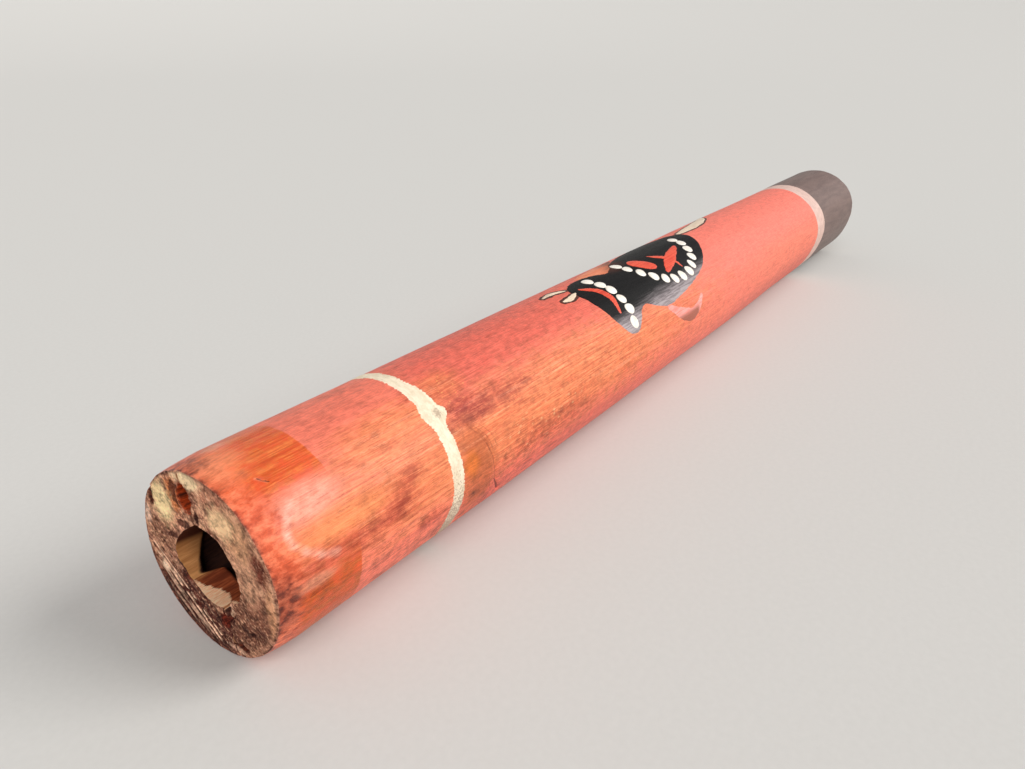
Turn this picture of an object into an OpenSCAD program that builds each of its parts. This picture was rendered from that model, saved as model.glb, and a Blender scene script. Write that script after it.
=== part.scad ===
// Short didgeridoo: two gouged wooden half-shells glued along their length, with painted bands and
// a dot-painted animal. It lies along X on z = 0, with its mouth end at -X and its bell end at +X.

/* [Tube] */
// Overall length
tube_len = 520; // [420:10:700]
// Outer radius at the mouth end
mouth_r = 27.25; // [26:0.25:30]
// Outer radius at the bell end
bell_r = 29.25; // [28:0.25:34]
// How far the worn rim drops below the body at the mouth face
rim_drop = 1.05; // [0.6:0.05:2]
// Length of the worn rounding at the mouth rim
rim_len = 7; // [4:1:10]
// Radial ease of the bell rim
bell_ease = 0.6; // [0.2:0.1:1.5]
// Depth of the worn flat along the underside
rest_flat = 0.3; // [0.25:0.05:0.6]

/* [Bore] */
// Radius of the near half's round edge of the blow hole
near_bore_r = 12.3; // [11:0.1:12.5]
// Radius of the far half's round tool cut in the blow hole
far_bore_r = 10.5; // [9:0.1:11]
// Length of the narrow lip behind the mouth face
lip_len = 6.5; // [6:0.1:8]
// Radius of the chamber behind the lip
chamber_r = 16; // [14:0.5:16.5]
// Radius of the bore at the bell
bell_bore_r = 18; // [17:0.5:20]

/* [Joint] */
// Lean of the glued joint from vertical, towards +Y at the top, in degrees
seam_lean = 15.3; // [0:0.1:30]
// Thickness of the glue line
glue_t = 0.3; // [0.2:0.05:0.6]
// Depth of the void in the upper joint at the mouth face
void_depth = 6; // [4:0.5:6]
// Radius of the filler in the lower joint at the mouth face
filler_r = 2.4; // [1.5:0.1:2.5]
// Depth of the filler
filler_depth = 6; // [4:0.5:6]

/* [Paint] */
// Thickness of the painted rings, which lie flush with the wood and are worn through at the flat
ring_t = 0.2; // [0.15:0.05:0.2]
// Start of the mouth band
mouth_band_x = 63.6; // [50:0.2:80]
// Width of the mouth band
mouth_band_w = 5.4; // [3:0.2:9]
// Start of the bell band
bell_band_x = 430.5; // [350:0.5:432]
// Width of the bell band
bell_band_w = 15.5; // [10:0.5:25]
// Thickness of the flat paint of the figure
coat_t = 0.15; // [0.1:0.05:0.3]
// Height of the dots above the wood
dot_h = 0.6; // [0.4:0.1:1]
// Radius of the dots
dot_r = 2.7; // [2:0.1:2.8]

/* [Hidden] */
$fn = 96;

spread = 2;                                 // overshoot of the raw solids past the sawn ends
reach = 40;                                 // half-size of cutting boxes, clear of the tube
lift = atan((bell_r - mouth_r) / tube_len); // tilt that lays the cone's lower line on z = 0
ease_len = 1;                               // length of the bell rim's ease
chamber_ease = 3;                           // length over which the lip opens into the chamber
mark_t = 0.15;                              // thickness of marks painted over the black coat
figure_a = 25;                              // angle of the figure's middle, from the top towards -Y
figure_x = [145, 355];                      // stretch of the tube that holds the figure

function body_r(x) = mouth_r + (bell_r - mouth_r) * x / tube_len;

// Local tube frame: X along the axis from the mouth face, the top towards +Z
module tube_frame() {
    translate([-tube_len / 2, 0, mouth_r * cos(lift) - rest_flat]) rotate([0, -lift, 0]) children();
}

// Turned solid about the local X axis; the drawing's X is the radius, its Y the length
module turned() {
    rotate([90, 0, 90]) rotate_extrude() children();
}

// Keeps what lies between the two sawn end planes and above the worn flat
module trimmed() {
    intersection() {
        tube_frame() children();
        translate([-tube_len / 2, -reach, 0]) cube([tube_len, 2 * reach, 2 * reach]);
    }
}

// ---- wood ----

mouth_band_end = mouth_band_x + mouth_band_w;
bell_band_end = bell_band_x + bell_band_w;
ease_x = tube_len - ease_len;
ease_r = bell_r - bell_ease;

// The log's outside, turned down by the paint's thickness under each painted ring
module log_outside() {
    turned() polygon([
        [0, -spread],
        [mouth_r - rim_drop - 0.1, -spread],
        [mouth_r - rim_drop, 0],
        [mouth_r - rim_drop * 0.4, rim_len * 0.3],
        [body_r(rim_len), rim_len],
        [body_r(mouth_band_x), mouth_band_x],
        [body_r(mouth_band_x) - ring_t, mouth_band_x],
        [body_r(mouth_band_end) - ring_t, mouth_band_end],
        [body_r(mouth_band_end), mouth_band_end],
        [body_r(bell_band_x), bell_band_x],
        [body_r(bell_band_x) - ring_t, bell_band_x],
        [body_r(ease_x) - ring_t, ease_x],
        [ease_r - ring_t, tube_len],
        [ease_r - ring_t, tube_len + spread],
        [0, tube_len + spread]
    ]);
}

// Bore: a lip of radius r at the mouth, then a chamber that widens to the bell
module bore(r) {
    turned() polygon([
        [0, -2 * spread],
        [r, -2 * spread],
        [r, lip_len],
        [chamber_r, lip_len + chamber_ease],
        [bell_bore_r, tube_len],
        [bell_bore_r, tube_len + 2 * spread],
        [0, tube_len + 2 * spread]
    ]);
}

// Joint frame: the joint is the plane Y = 0, and the far half is on its +Y side
module joint_frame() {
    rotate([-seam_lean, 0, 0]) children();
}

// Flat chisel cuts in the far half's lip, drawn across the tube
module far_trough() {
    rotate([90, 0, 90]) translate([0, 0, -2 * spread]) linear_extrude(2 * spread + lip_len + chamber_ease)
        polygon([[-1, 12.2], [0, 12.2], [10.5, 7], [13.5, 3.7], [13.6, -0.4], [10.9, -5.8], [6, -10.8],
                 [0, -12], [-1, -12]]);
}

void_r = 2.3;           // half-width of the void
void_z = [17.2, 19.4];  // ends of the void's middle line, from the axis
filler_y = -2;          // filler's middle, in the joint frame
filler_z = -14.3;

// Void where the halves don't meet, opening in the mouth face
module void_cut() {
    for (z = void_z)
        translate([-spread, 0, z]) rotate([0, 90, 0]) cylinder(r = void_r, h = void_depth + spread);
    translate([-spread, -void_r, void_z[0]]) cube([void_depth + spread, 2 * void_r, void_z[1] - void_z[0]]);
}

module filler_cut() {
    translate([-spread, filler_y, filler_z]) rotate([0, 90, 0])
        cylinder(r = filler_r, h = filler_depth + spread);
}

// Slab of the joint frame between two distances from the joint and two heights
module joint_slab(y0, y1, z0, z1) {
    joint_frame() translate([-2 * spread, y0, z0]) cube([tube_len + 4 * spread, y1 - y0, z1 - z0]);
}

module joint_cuts() {
    joint_frame() void_cut();
    joint_frame() filler_cut();
}

module near_half_shell() {
    color([0.91, 0.50, 0.41])
    trimmed() difference() {
        intersection() {
            log_outside();
            joint_slab(-reach, -glue_t / 2, -reach, reach);
        }
        bore(near_bore_r);
        joint_cuts();
    }
}

module far_half_shell() {
    color([0.84, 0.44, 0.35])
    trimmed() difference() {
        intersection() {
            log_outside();
            joint_slab(glue_t / 2, reach, -reach, reach);
        }
        bore(far_bore_r);
        joint_frame() far_trough();
        joint_cuts();
    }
}

module glue_line(z0, z1) {
    trimmed() difference() {
        intersection() {
            log_outside();
            joint_slab(-glue_t / 2, glue_t / 2, z0, z1);
        }
        bore(near_bore_r);
        joint_cuts();
    }
}

module upper_glue_line() {
    color([0.80, 0.70, 0.52]) glue_line(0, reach);
}

module lower_glue_line() {
    color([0.80, 0.70, 0.52]) glue_line(-reach, 0);
}

module joint_filler() {
    color([0.76, 0.72, 0.58])
    trimmed() difference() {
        joint_frame() filler_cut();
        bore(near_bore_r);
    }
}

// ---- painted rings ----

module ring_coat(x0, x1) {
    turned() polygon([
        [body_r(x0) - ring_t, x0],
        [body_r(x0), x0],
        [body_r(x1), x1],
        [body_r(x1) - ring_t, x1]
    ]);
}

module mouth_band() {
    color([0.97, 0.91, 0.80]) trimmed() ring_coat(mouth_band_x, mouth_band_end);
}

module bell_band() {
    color([0.97, 0.88, 0.80]) trimmed() ring_coat(bell_band_x, bell_band_end);
}

module bell_end_paint() {
    color([0.52, 0.43, 0.39])
    trimmed() turned() polygon([
        [body_r(bell_band_end) - ring_t, bell_band_end],
        [body_r(bell_band_end), bell_band_end],
        [body_r(ease_x), ease_x],
        [ease_r, tube_len],
        [ease_r, tube_len + spread],
        [ease_r - ring_t, tube_len + spread],
        [ease_r - ring_t, tube_len],
        [body_r(ease_x) - ring_t, ease_x]
    ]);
}

// ---- painted figure: a grazing animal, drawn as [distance from the mouth, angle from the top] ----

// A drawn point, laid flat across the figure's middle
function at(p) = [p[0], body_r(p[0]) * sin(figure_a - p[1])];

function bend(a, b, c, d, t) =
    0.5 * (2 * b + (c - a) * t + (2 * a - 5 * b + 4 * c - d) * t * t + (3 * b - a - 3 * c + d) * t * t * t);

// Smooth closed line through the drawn points
function loop(p, n = 4) = [
    for (i = [0:len(p) - 1], k = [0:n - 1])
        bend(at(p[(i + len(p) - 1) % len(p)]), at(p[i]), at(p[(i + 1) % len(p)]), at(p[(i + 2) % len(p)]), k / n)
];

// Smooth open line through the drawn points
function line(p, n = 4) = [
    for (i = [0:len(p) - 2], k = [0:n - 1])
        bend(at(p[max(i - 1, 0)]), at(p[i]), at(p[i + 1]), at(p[min(i + 2, len(p) - 1)]), k / n),
    at(p[len(p) - 1])
];

function unit(v) = v / norm(v);

// The line with each end carried on by d
function longer(c, d) =
    let (n = len(c) - 1)
    concat([c[0] + unit(c[0] - c[1]) * d], c, [c[n] + unit(c[n] - c[n - 1]) * d]);

function side(c, i, w) =
    let (d = unit(c[min(i + 1, len(c) - 1)] - c[max(i - 1, 0)]))
    c[i] + [-d[1], d[0]] * w;

// Half-width along a brush stroke, from blunt ends to a full middle
function swell(i, n, w) = w * (0.35 + 0.65 * sin(180 * i / n));

// Brush stroke along the drawn points; grow widens and lengthens it alike
module brush(p, w, grow = 0) {
    c = longer(line(p), grow + 0.01);
    n = len(c) - 1;
    polygon(concat(
        [for (i = [0:n]) side(c, i, swell(i, n, w) + grow)],
        [for (i = [n:-1:0]) side(c, i, -swell(i, n, w) - grow)]
    ));
}

// Layer all round the figure's stretch, between two heights above the wood
module figure_layer(low, high) {
    turned() polygon([
        [body_r(figure_x[0]) + low, figure_x[0]],
        [body_r(figure_x[0]) + high, figure_x[0]],
        [body_r(figure_x[1]) + high, figure_x[1]],
        [body_r(figure_x[1]) + low, figure_x[1]]
    ]);
}

// Film between two heights above the wood, over the area drawn by the children
module film(low, high) {
    tube_frame() intersection() {
        figure_layer(low, high);
        rotate([figure_a, 0, 0]) linear_extrude(reach) children();
    }
}

body_line = [[168, 2], [177, -8], [190, -7], [200, 1], [213, -12], [236, -24], [262, -23], [278, -10],
             [281, 4], [275, 24], [261, 43], [243, 53], [227, 58], [214, 60], [205, 55], [198, 49],
             [193, 51], [189, 59], [183, 66], [176, 61], [171, 44], [168, 22]];
ears = [[[155, -5], [161, -6], [168, -1]], [[158, 11], [163, 11], [169, 8]]];
ear_w = 1.6;
outline_w = 1.0;
tail_line = [[281, -7], [294, -8], [308, -11], [322, -18], [334, -30]];
tail_w = 3.6;
limb_line = [[213, 61], [219, 68], [226, 75], [234, 79], [241, 75], [246, 67]];
limb_w = 3.2;

module body_area() {
    polygon(loop(body_line));
}

module ears_area(grow) {
    for (e = ears)
        brush(e, ear_w, grow);
}

// The children's area, less the black body
module beside_body() {
    difference() {
        children();
        body_area();
    }
}

module figure_body() {
    color([0.09, 0.08, 0.08]) film(0, coat_t) body_area();
}

module dot(x, a) {
    rotate([a, 0, 0]) translate([x, 0, 0]) cylinder(r = dot_r, h = reach);
}

head_dots = 6;
head_row = [180, 1];    // the head row's middle distance and first angle
head_step = 11;         // angle from one of its dots to the next
head_bow = 6.5;         // how far the head row bows out along the tube
bow_turn = [30, 24];    // the bow's first angle on its sine, and the step per dot
flank_dots = 13;
flank_row = [238.5, -1]; // middle of the flank row's half ellipse
flank_reach = [28.5, 44]; // its half-length along the tube, and its reach round it in degrees

module figure_dots() {
    color([0.95, 0.91, 0.85])
    tube_frame() intersection() {
        figure_layer(coat_t, dot_h);
        union() {
            for (i = [0:head_dots - 1])
                dot(head_row[0] + head_bow * sin(bow_turn[0] + bow_turn[1] * i), head_row[1] + head_step * i);
            for (i = [0:flank_dots - 1])
                let (turn = 180 * i / (flank_dots - 1))
                dot(flank_row[0] - flank_reach[0] * cos(turn), flank_row[1] + flank_reach[1] * sin(turn));
        }
    }
}

module figure_red_marks() {
    color([0.90, 0.30, 0.17])
    film(coat_t, coat_t + mark_t) {
        brush([[173, 6], [179, 16], [181, 29], [178, 44]], 2.2);
        polygon(loop([[215.5, 7], [218, 0], [222, 1], [227, 11], [229, 20], [226, 25], [220, 20]]));
        brush([[230, 32], [238, 25], [247, 18], [259, 10]], 3.2);
        brush([[233, 6], [238, 14], [243, 24], [244, 34]], 1.8);
    }
}

module figure_back_patch() {
    color([0.42, 0.20, 0.10])
    film(0, coat_t) beside_body()
        polygon(loop([[184, -12], [196, -20], [210, -22], [222, -22], [212, -8], [200, 6], [190, -3]]));
}

module figure_ears() {
    color([0.93, 0.84, 0.70]) film(0, coat_t) beside_body() ears_area(0);
}

module figure_ear_outlines() {
    color([0.30, 0.13, 0.07])
    film(0, coat_t) beside_body() difference() {
        ears_area(outline_w);
        ears_area(0);
    }
}

module figure_limb() {
    color([0.80, 0.45, 0.38])
    film(0, coat_t) beside_body() brush(limb_line, limb_w);
}

module figure_tail() {
    color([0.88, 0.80, 0.72]) film(0, coat_t) beside_body() brush(tail_line, tail_w);
}

module figure_tail_outline() {
    color([0.22, 0.10, 0.07])
    film(0, coat_t) beside_body() difference() {
        brush(tail_line, tail_w, outline_w);
        brush(tail_line, tail_w);
    }
}

near_half_shell();
far_half_shell();
upper_glue_line();
lower_glue_line();
joint_filler();
mouth_band();
bell_band();
bell_end_paint();
figure_body();
figure_dots();
figure_red_marks();
figure_back_patch();
figure_ears();
figure_ear_outlines();
figure_limb();
figure_tail();
figure_tail_outline();
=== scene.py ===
"""Short hand-painted didgeridoo, lying along X: detailed wood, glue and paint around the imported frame."""
import math

import bpy
import numpy as np
from mathutils import Matrix, Vector
from mathutils.geometry import delaunay_2d_cdt


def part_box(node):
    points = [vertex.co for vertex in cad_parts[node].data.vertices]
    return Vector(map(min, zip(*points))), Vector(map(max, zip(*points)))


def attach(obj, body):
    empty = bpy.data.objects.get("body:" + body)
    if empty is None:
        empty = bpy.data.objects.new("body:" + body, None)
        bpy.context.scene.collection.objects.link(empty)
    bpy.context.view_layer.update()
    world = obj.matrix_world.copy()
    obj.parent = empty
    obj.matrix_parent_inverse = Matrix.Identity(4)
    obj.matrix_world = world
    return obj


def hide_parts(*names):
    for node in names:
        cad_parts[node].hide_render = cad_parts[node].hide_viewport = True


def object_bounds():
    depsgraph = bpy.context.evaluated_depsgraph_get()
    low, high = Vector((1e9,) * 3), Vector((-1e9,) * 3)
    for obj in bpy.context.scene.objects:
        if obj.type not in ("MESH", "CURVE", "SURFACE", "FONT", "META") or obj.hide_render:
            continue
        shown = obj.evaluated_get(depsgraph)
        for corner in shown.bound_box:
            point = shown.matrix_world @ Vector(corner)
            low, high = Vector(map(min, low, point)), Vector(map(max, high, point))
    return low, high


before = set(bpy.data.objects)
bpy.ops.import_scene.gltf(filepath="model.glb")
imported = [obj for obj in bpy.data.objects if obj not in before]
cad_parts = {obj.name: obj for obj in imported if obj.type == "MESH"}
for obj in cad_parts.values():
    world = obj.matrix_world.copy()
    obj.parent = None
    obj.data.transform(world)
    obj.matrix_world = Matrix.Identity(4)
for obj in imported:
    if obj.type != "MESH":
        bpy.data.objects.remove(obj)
cad_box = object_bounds()

# ---- the tube, in millimetres
MM = 0.001
LENGTH = (cad_box[1][0] - cad_box[0][0]) / MM
R_MOUTH = 27.25
R_BELL = 29.25
FLAT = 0.3  # depth of the worn flat along the underside
LIFT = math.atan((R_BELL - R_MOUTH) / LENGTH)  # tilt that lays the cone's lower line flat
LEAN = 15.3  # lean of the glued joint from vertical, degrees
R_MEAN = 28.0  # radius that turns angles into arc lengths
BELL_EASE = 0.6  # how far the bell's edge is rounded off
RIM_DROP = 1.05  # least wear of the mouth rim
SIDE_FLATTENING = 2.2  # how much flatter the lower near side is towards the bell
BAND_BOW = 3.2  # how far the bell band bows towards the bell there
VOID_DEPTH = 4.8  # depth of the void above the blow hole
BLOW_HOLE = 12.2  # radius of the blow hole
LIP = 6.5  # length of the narrow lip behind the mouth face
LIP_EASE = 3.0  # length over which the lip opens into the chamber
CHAMBER = 16.0  # radius of the chamber behind the lip
R_BORE_BELL = 18.0  # radius of the bore at the bell
PAINT = 0.12  # how far the wood is rubbed down under the bell's paint
BAND_X = (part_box("mouth_band")[0][0] - cad_box[0][0]) / MM
BAND_END = (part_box("mouth_band")[1][0] - cad_box[0][0]) / MM
BELL_BAND_X = (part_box("bell_band")[0][0] - cad_box[0][0]) / MM
BELL_PAINT_X = (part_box("bell_end_paint")[0][0] - cad_box[0][0]) / MM


# ---- noise
def noise(p, seed):
    """Gradient noise, about -1 to 1, at each point of p."""
    rng = np.random.default_rng(seed)
    perm = rng.permutation(256)
    grads = rng.normal(size=(256, 3))
    grads /= np.linalg.norm(grads, axis=1)[:, None]
    cell = np.floor(p).astype(int)
    f = p - cell
    fade = f * f * f * (f * (f * 6 - 15) + 10)
    total = np.zeros(p.shape[:-1])
    for corner in np.ndindex(2, 2, 2):
        h = 0
        for axis, up in enumerate(corner):
            h = perm[(h + cell[..., axis] + up) & 255]
        share = (grads[h] * (f - corner)).sum(-1)
        for axis, up in enumerate(corner):
            share = share * (fade[..., axis] if up else 1 - fade[..., axis])
        total += share
    return total * 1.6


def fbm(x, y, z, seed, octaves=4, rough=0.5):
    """Noise with finer and weaker octaves added."""
    x, y, z = np.broadcast_arrays(np.asarray(x, float), np.asarray(y, float), np.asarray(z, float))
    p = np.stack([x, y, z], -1)
    total, size = np.zeros(x.shape), 1.0
    for k in range(octaves):
        total += size * noise(p * 2 ** k + 17.3 * k, seed + k)
        size *= rough
    return total


def smooth(low, high, v):
    """0 below low and 1 above high, smooth between."""
    t = np.clip((v - low) / (high - low), 0, 1)
    return t * t * (3 - 2 * t)


def bump(v, centre, width):
    """1 at centre, falling smoothly to 0 at width away."""
    return 1 - smooth(0, 1, np.abs(v - centre) / width)


# ---- the tube's surfaces
def to_row(x, a, r):
    """Row-frame metres of the point at x along the tube, angle a (radians, top towards -Y), radius r."""
    ly, lz = -r * np.sin(a), r * np.cos(a)
    c, s = math.cos(LIFT), math.sin(LIFT)
    p = np.stack([x * c - lz * s - LENGTH / 2, ly, x * s + lz * c + R_MOUTH * c - FLAT], -1)
    p[..., 0] = np.clip(p[..., 0], -LENGTH / 2, LENGTH / 2)
    p[..., 2] = np.maximum(p[..., 2], 0)
    return p * MM


def body_r(x):
    """Radius of the plain cone."""
    return R_MOUTH + (R_BELL - R_MOUTH) * x / LENGTH


def turn(deg):
    """Degrees brought to -180 to 180."""
    return (deg + 180) % 360 - 180


def rim_reach(deg):
    """How far the bevel of the mouth rim runs along the tube, in mm, at each angle."""
    return 9.5 + 3.5 * bump(deg, -20, 45) + 3.5 * bump(deg, 30, 22) - 3.5 * bump(deg, 58, 22) \
        + 5.0 * bump(deg, 86, 18) + 0.8 * np.sin(np.radians(deg * 5 + 40))


GLINT_PATH = [(16.5, 37), (13.0, 44), (9.8, 51), (8.0, 58), (8.2, 64), (10.5, 70), (14.5, 76), (19, 80)]
KNOT_PATH = [(75.5, 58), (78, 66), (80.5, 75), (82.3, 85), (83.2, 95), (84.2, 105), (86, 112), (89, 120)]


def line_distance(x, y, start, end):
    """Distance from each (x, y) to a straight line between two points, and the share along it."""
    (x0, y0), (dx, dy) = start, (end[0] - start[0], end[1] - start[1])
    t = np.clip(((x - x0) * dx + (y - y0) * dy) / (dx * dx + dy * dy), 0, 1)
    return np.hypot(x - x0 - t * dx, y - y0 - t * dy), t


def path_distance(x, s, path):
    """Distance in mm, and the share along the path, from each (x, arc) to a path of (x, degrees)."""
    pts = [(px, math.radians(pd) * R_MEAN) for px, pd in path]
    best = np.full(np.shape(x), 1e9)
    along = np.zeros(np.shape(x))
    for i in range(len(pts) - 1):
        d, t = line_distance(x, s, pts[i], pts[i + 1])
        near = d < best
        best = np.where(near, d, best)
        along = np.where(near, (i + t) / (len(pts) - 1), along)
    return best, along


def band_bow(deg):
    """How far the bell band bows towards the bell on the flatter side, in mm."""
    return BAND_BOW * bump(deg, 92, 52)


def rim_wear(x, s, deg):
    """How far the worn rim lies below the cone, with its pit, and less the bead of thick clear coat."""
    t = np.clip(1 - x / rim_reach(deg), 0, 1)
    drop = RIM_DROP + 0.45 * bump(deg, 58, 35) + 0.4 * bump(deg, 5, 45) - 0.6 * bump(turn(deg + 140), 0, 90)
    worn = drop * (0.62 * t + 0.38 * t ** 3)
    u, v = x - 11.2, s - 13.4
    pit = np.hypot((0.8 * u - 0.6 * v) / 0.45, (0.6 * u + 0.8 * v) / 1.7)
    pit = pit + 0.2 * fbm(x / 0.9, s / 0.9, 0, 13, 2)
    worn += 0.55 * (1 - smooth(0.3, 1.0, pit)) - 0.12 * bump(pit, 1.6, 0.7)
    near = (x < 32) & (np.abs(deg - 58) < 40)
    if near.any():
        d, along = path_distance(x, s, GLINT_PATH)
        bead = 0.13 * np.exp(-(d / 1.2) ** 2) * np.sin(math.pi * np.clip(along, 0.05, 0.95))
        worn -= np.where(near, bead + 0.05 * fbm(x / 3, s / 3, 2, 17, 3) * (1 - smooth(12, 30, x)), 0)
    return worn


def knot_relief(x, s, deg):
    """Height of the swelling at the knot, less its crack and hollow."""
    near = (np.abs(x - 84) < 40) & (np.abs(deg - 90) < 60)
    if not near.any():
        return 0.0
    d, along = path_distance(x, s, KNOT_PATH)
    crack = (0.16 + 0.34 * smooth(0.6, 0.95, along)) * (1 - smooth(0.1, 0.75 + 0.35 * along, d))
    swelling = 0.16 * np.exp(-(((x - 96) / 16) ** 2 + ((s - 46) / 12) ** 2))
    hollow = 0.10 * np.exp(-(((x - 76) / 4) ** 2 + ((s - 40) / 14) ** 2))
    return np.where(near, swelling - crack - hollow, 0)


def skin(x, a):
    """Radius of the wood's outside, with its hand-worked unevenness."""
    x, a = np.broadcast_arrays(np.asarray(x, float), np.asarray(a, float))
    cy, sz = np.sin(a), np.cos(a)
    r = body_r(x) + 0.22 * fbm(x / 85, cy * 1.1, sz * 1.1, 3, 2) - 0.05
    r += 0.07 * fbm(x / 40, cy * 3.2, sz * 3.2, 11, 3)
    r += 0.035 * np.sin(a * 26 + 1.5 * fbm(x / 60, cy, sz, 5, 2))
    deg = turn(np.degrees(a))
    s = np.radians(deg) * R_MEAN
    r += knot_relief(x, s, deg) - rim_wear(x, s, deg)
    r -= SIDE_FLATTENING * bump(deg, 112, 62) * smooth(270, 450, x)
    band_start = BELL_BAND_X + band_bow(deg)
    rubbed = PAINT * smooth(band_start, band_start + 1.2, x)
    tail = np.clip((x - (LENGTH - 1.6)) / 1.6, 0, 1)
    r -= (BELL_EASE + 0.12 * fbm(cy * 4, sz * 4, 0, 23, 3)) * tail ** 1.7
    return np.minimum(r, R_BELL - 0.03) - rubbed


FAR_CUTS = [(0, BLOW_HOLE), (10.5, 7), (13.5, 3.7), (13.7, -0.4), (10.9, -5.8), (6, -10.8), (0, -12)]


def lip_r(a, far):
    """Radius of the blow hole, round in the near half and cut with a flat chisel in the far half."""
    b = a + math.radians(LEAN)
    deg = turn(np.degrees(a))
    pinch = 0.9 * bump(deg, -8, 45) + 2.1 * bump(deg, 141, 25)
    if not far:
        return BLOW_HOLE - 0.5 * np.sin(2 * b - 0.6) - pinch
    uy, uz = -np.sin(b), np.cos(b)
    inverse = np.zeros(np.shape(b))
    for (y0, z0), (y1, z1) in zip(FAR_CUTS, FAR_CUTS[1:]):
        ny, nz = z0 - z1, y1 - y0
        share = (uy * ny + uz * nz) / (ny * y0 + nz * z0)
        inverse += np.maximum(share, 0) ** 18
    return inverse ** (-1 / 18) - pinch


def lip_more(deg):
    """How much longer than LIP the lip is at 0 to 360 degrees: long under the hole, short by its corner."""
    wall = 5.0 * smooth(226, 274, deg) - 3.0 - 2.0 * smooth(320, 345, deg)
    return 3.0 * smooth(150, 165, deg) * (1 - smooth(219, 229, deg)) + wall * smooth(219, 229, deg)


def bore_r(x, a, far):
    """Radius of the gouged bore: the lip of the blow hole, then the chamber."""
    x, a = np.broadcast_arrays(np.asarray(x, float), np.asarray(a, float))
    cy, sz = np.sin(a), np.cos(a)
    gouge = 0.22 * fbm(x / 26, cy * 5, sz * 5, 31 + far, 3)
    gouge = gouge + 0.10 * np.sin(a * 17 + 2 * fbm(x / 45, cy, sz, 35, 2))
    nick = 0.13 * fbm(cy * 4, sz * 4, x / 9, 37 + far, 3) * (1 - smooth(1, 6, x))
    depth = CHAMBER + (R_BORE_BELL - CHAMBER) * x / LENGTH
    start = LIP - 0.5 + 0.6 * fbm(cy * 2, sz * 2, 0, 39, 2) + lip_more(np.degrees(a) % 360)
    wide = smooth(start, start + LIP_EASE, x)
    return lip_r(a, far) * (1 - wide) + depth * wide + gouge * smooth(3, 12, x) + nick


def face_plane(x, a, r):
    """Right and up, in mm from the axis, as seen from in front of the mouth."""
    return r * np.sin(a), r * np.cos(a)


SAW = (math.cos(math.radians(-39)), math.sin(math.radians(-39)))  # run of the saw marks on the mouth face


def saw_frame(h, v):
    """Along and across the saw marks; across grows to the lower left, and is 0 on the main ridge."""
    along = h * SAW[0] + v * SAW[1]
    across = (h + 25) * SAW[1] - (v + 1) * SAW[0]
    return along, across


# place across the saw marks and height, in mm
RIDGES = [(-4.2, 0.3), (-2.2, 0.25), (0.0, 0.75), (1.9, 0.4), (3.5, 0.5), (5.0, 0.4), (6.6, 0.65),
          (8.1, 0.45), (9.5, 0.5)]


def face_slant(h, v):
    """Depth of the sawn face's middle plane, which is cut a little out of square."""
    return (h + v) * 0.0075 + 0.30


def mouth_depth(h, v):
    """How far the sawn mouth face lies inside its end plane, in mm."""
    along, across = saw_frame(h, v)
    r = np.hypot(h, v)
    calm = 1 - 0.85 * smooth(22.5, 26, r)
    torn = smooth(-1.0, 1.0, across)
    rough = fbm(along / 6.5, across / 1.6, 0.5, 41, 4, 0.5)
    chips = fbm(h / 1.8, v / 1.8, 3.5, 47, 4, 0.6)
    d = face_slant(h, v) + (0.15 * rough + 0.12 * chips) * calm * (1 - 0.35 * torn)
    hackle = smooth(-7.5, -3, across) * (1 - 0.7 * smooth(2, 12, along))
    stripes = np.sin(across * 2.35 + 0.9 * fbm(along / 9, across / 6, 1.5, 53, 2))
    d += hackle * (0.14 * stripes + 0.12 * np.abs(rough)) * calm
    reach = smooth(-32, -24, along) * (1 - smooth(12, 22, along))
    for ridge, height in RIDGES:
        q = across - ridge - 0.45 * fbm(along / 8, 0.3, 7.5, 57, 2) - 0.3 * fbm(along / 5, ridge, 9.5, 59, 2)
        d -= height * np.where(q < 0, np.exp(q / 0.24), np.exp(-q / 0.7)) * reach * calm
    d += 0.30 * smooth(-0.8, 0.2, across) * calm
    d += (0.34 + 0.012 * (h + v)) * smooth(24.6, 26.6, r) ** 2
    return d


# chips in the mouth face: right mm, up mm, half-width, half-height, depth
CHIPS = [
    (3.3, -15.4, 1.7, 1.9, 1.5), (5.6, -13.6, 1.1, 1.4, 1.2), (9.6, -21.4, 2.4, 0.9, 1.3),
    (1.2, -22.3, 1.6, 1.0, 0.8), (-20.6, 13.6, 1.3, 3.0, 0.7), (-7.6, -15.6, 1.8, 1.2, 0.8),
    (14.5, -14.5, 1.4, 1.0, 0.5), (-12.5, -12.8, 2.2, 0.9, 0.7), (6.3, -12.2, 2.3, 2.9, 1.3),
    (-9.5, 18.5, 1.6, 3.6, 0.6), (-8.0, 9.5, 3.0, 1.3, 0.8), (-13.5, 4.0, 2.4, 1.0, 0.6),
    (19.5, 3.0, 1.0, 2.0, 0.35), (-4.0, -19.5, 1.8, 0.9, 0.7)]
FACE_CRACK = [(4.3, -12.6), (5.6, -9.4), (8.2, -5.6), (10.6, -2.8)]  # right mm, up mm


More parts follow.
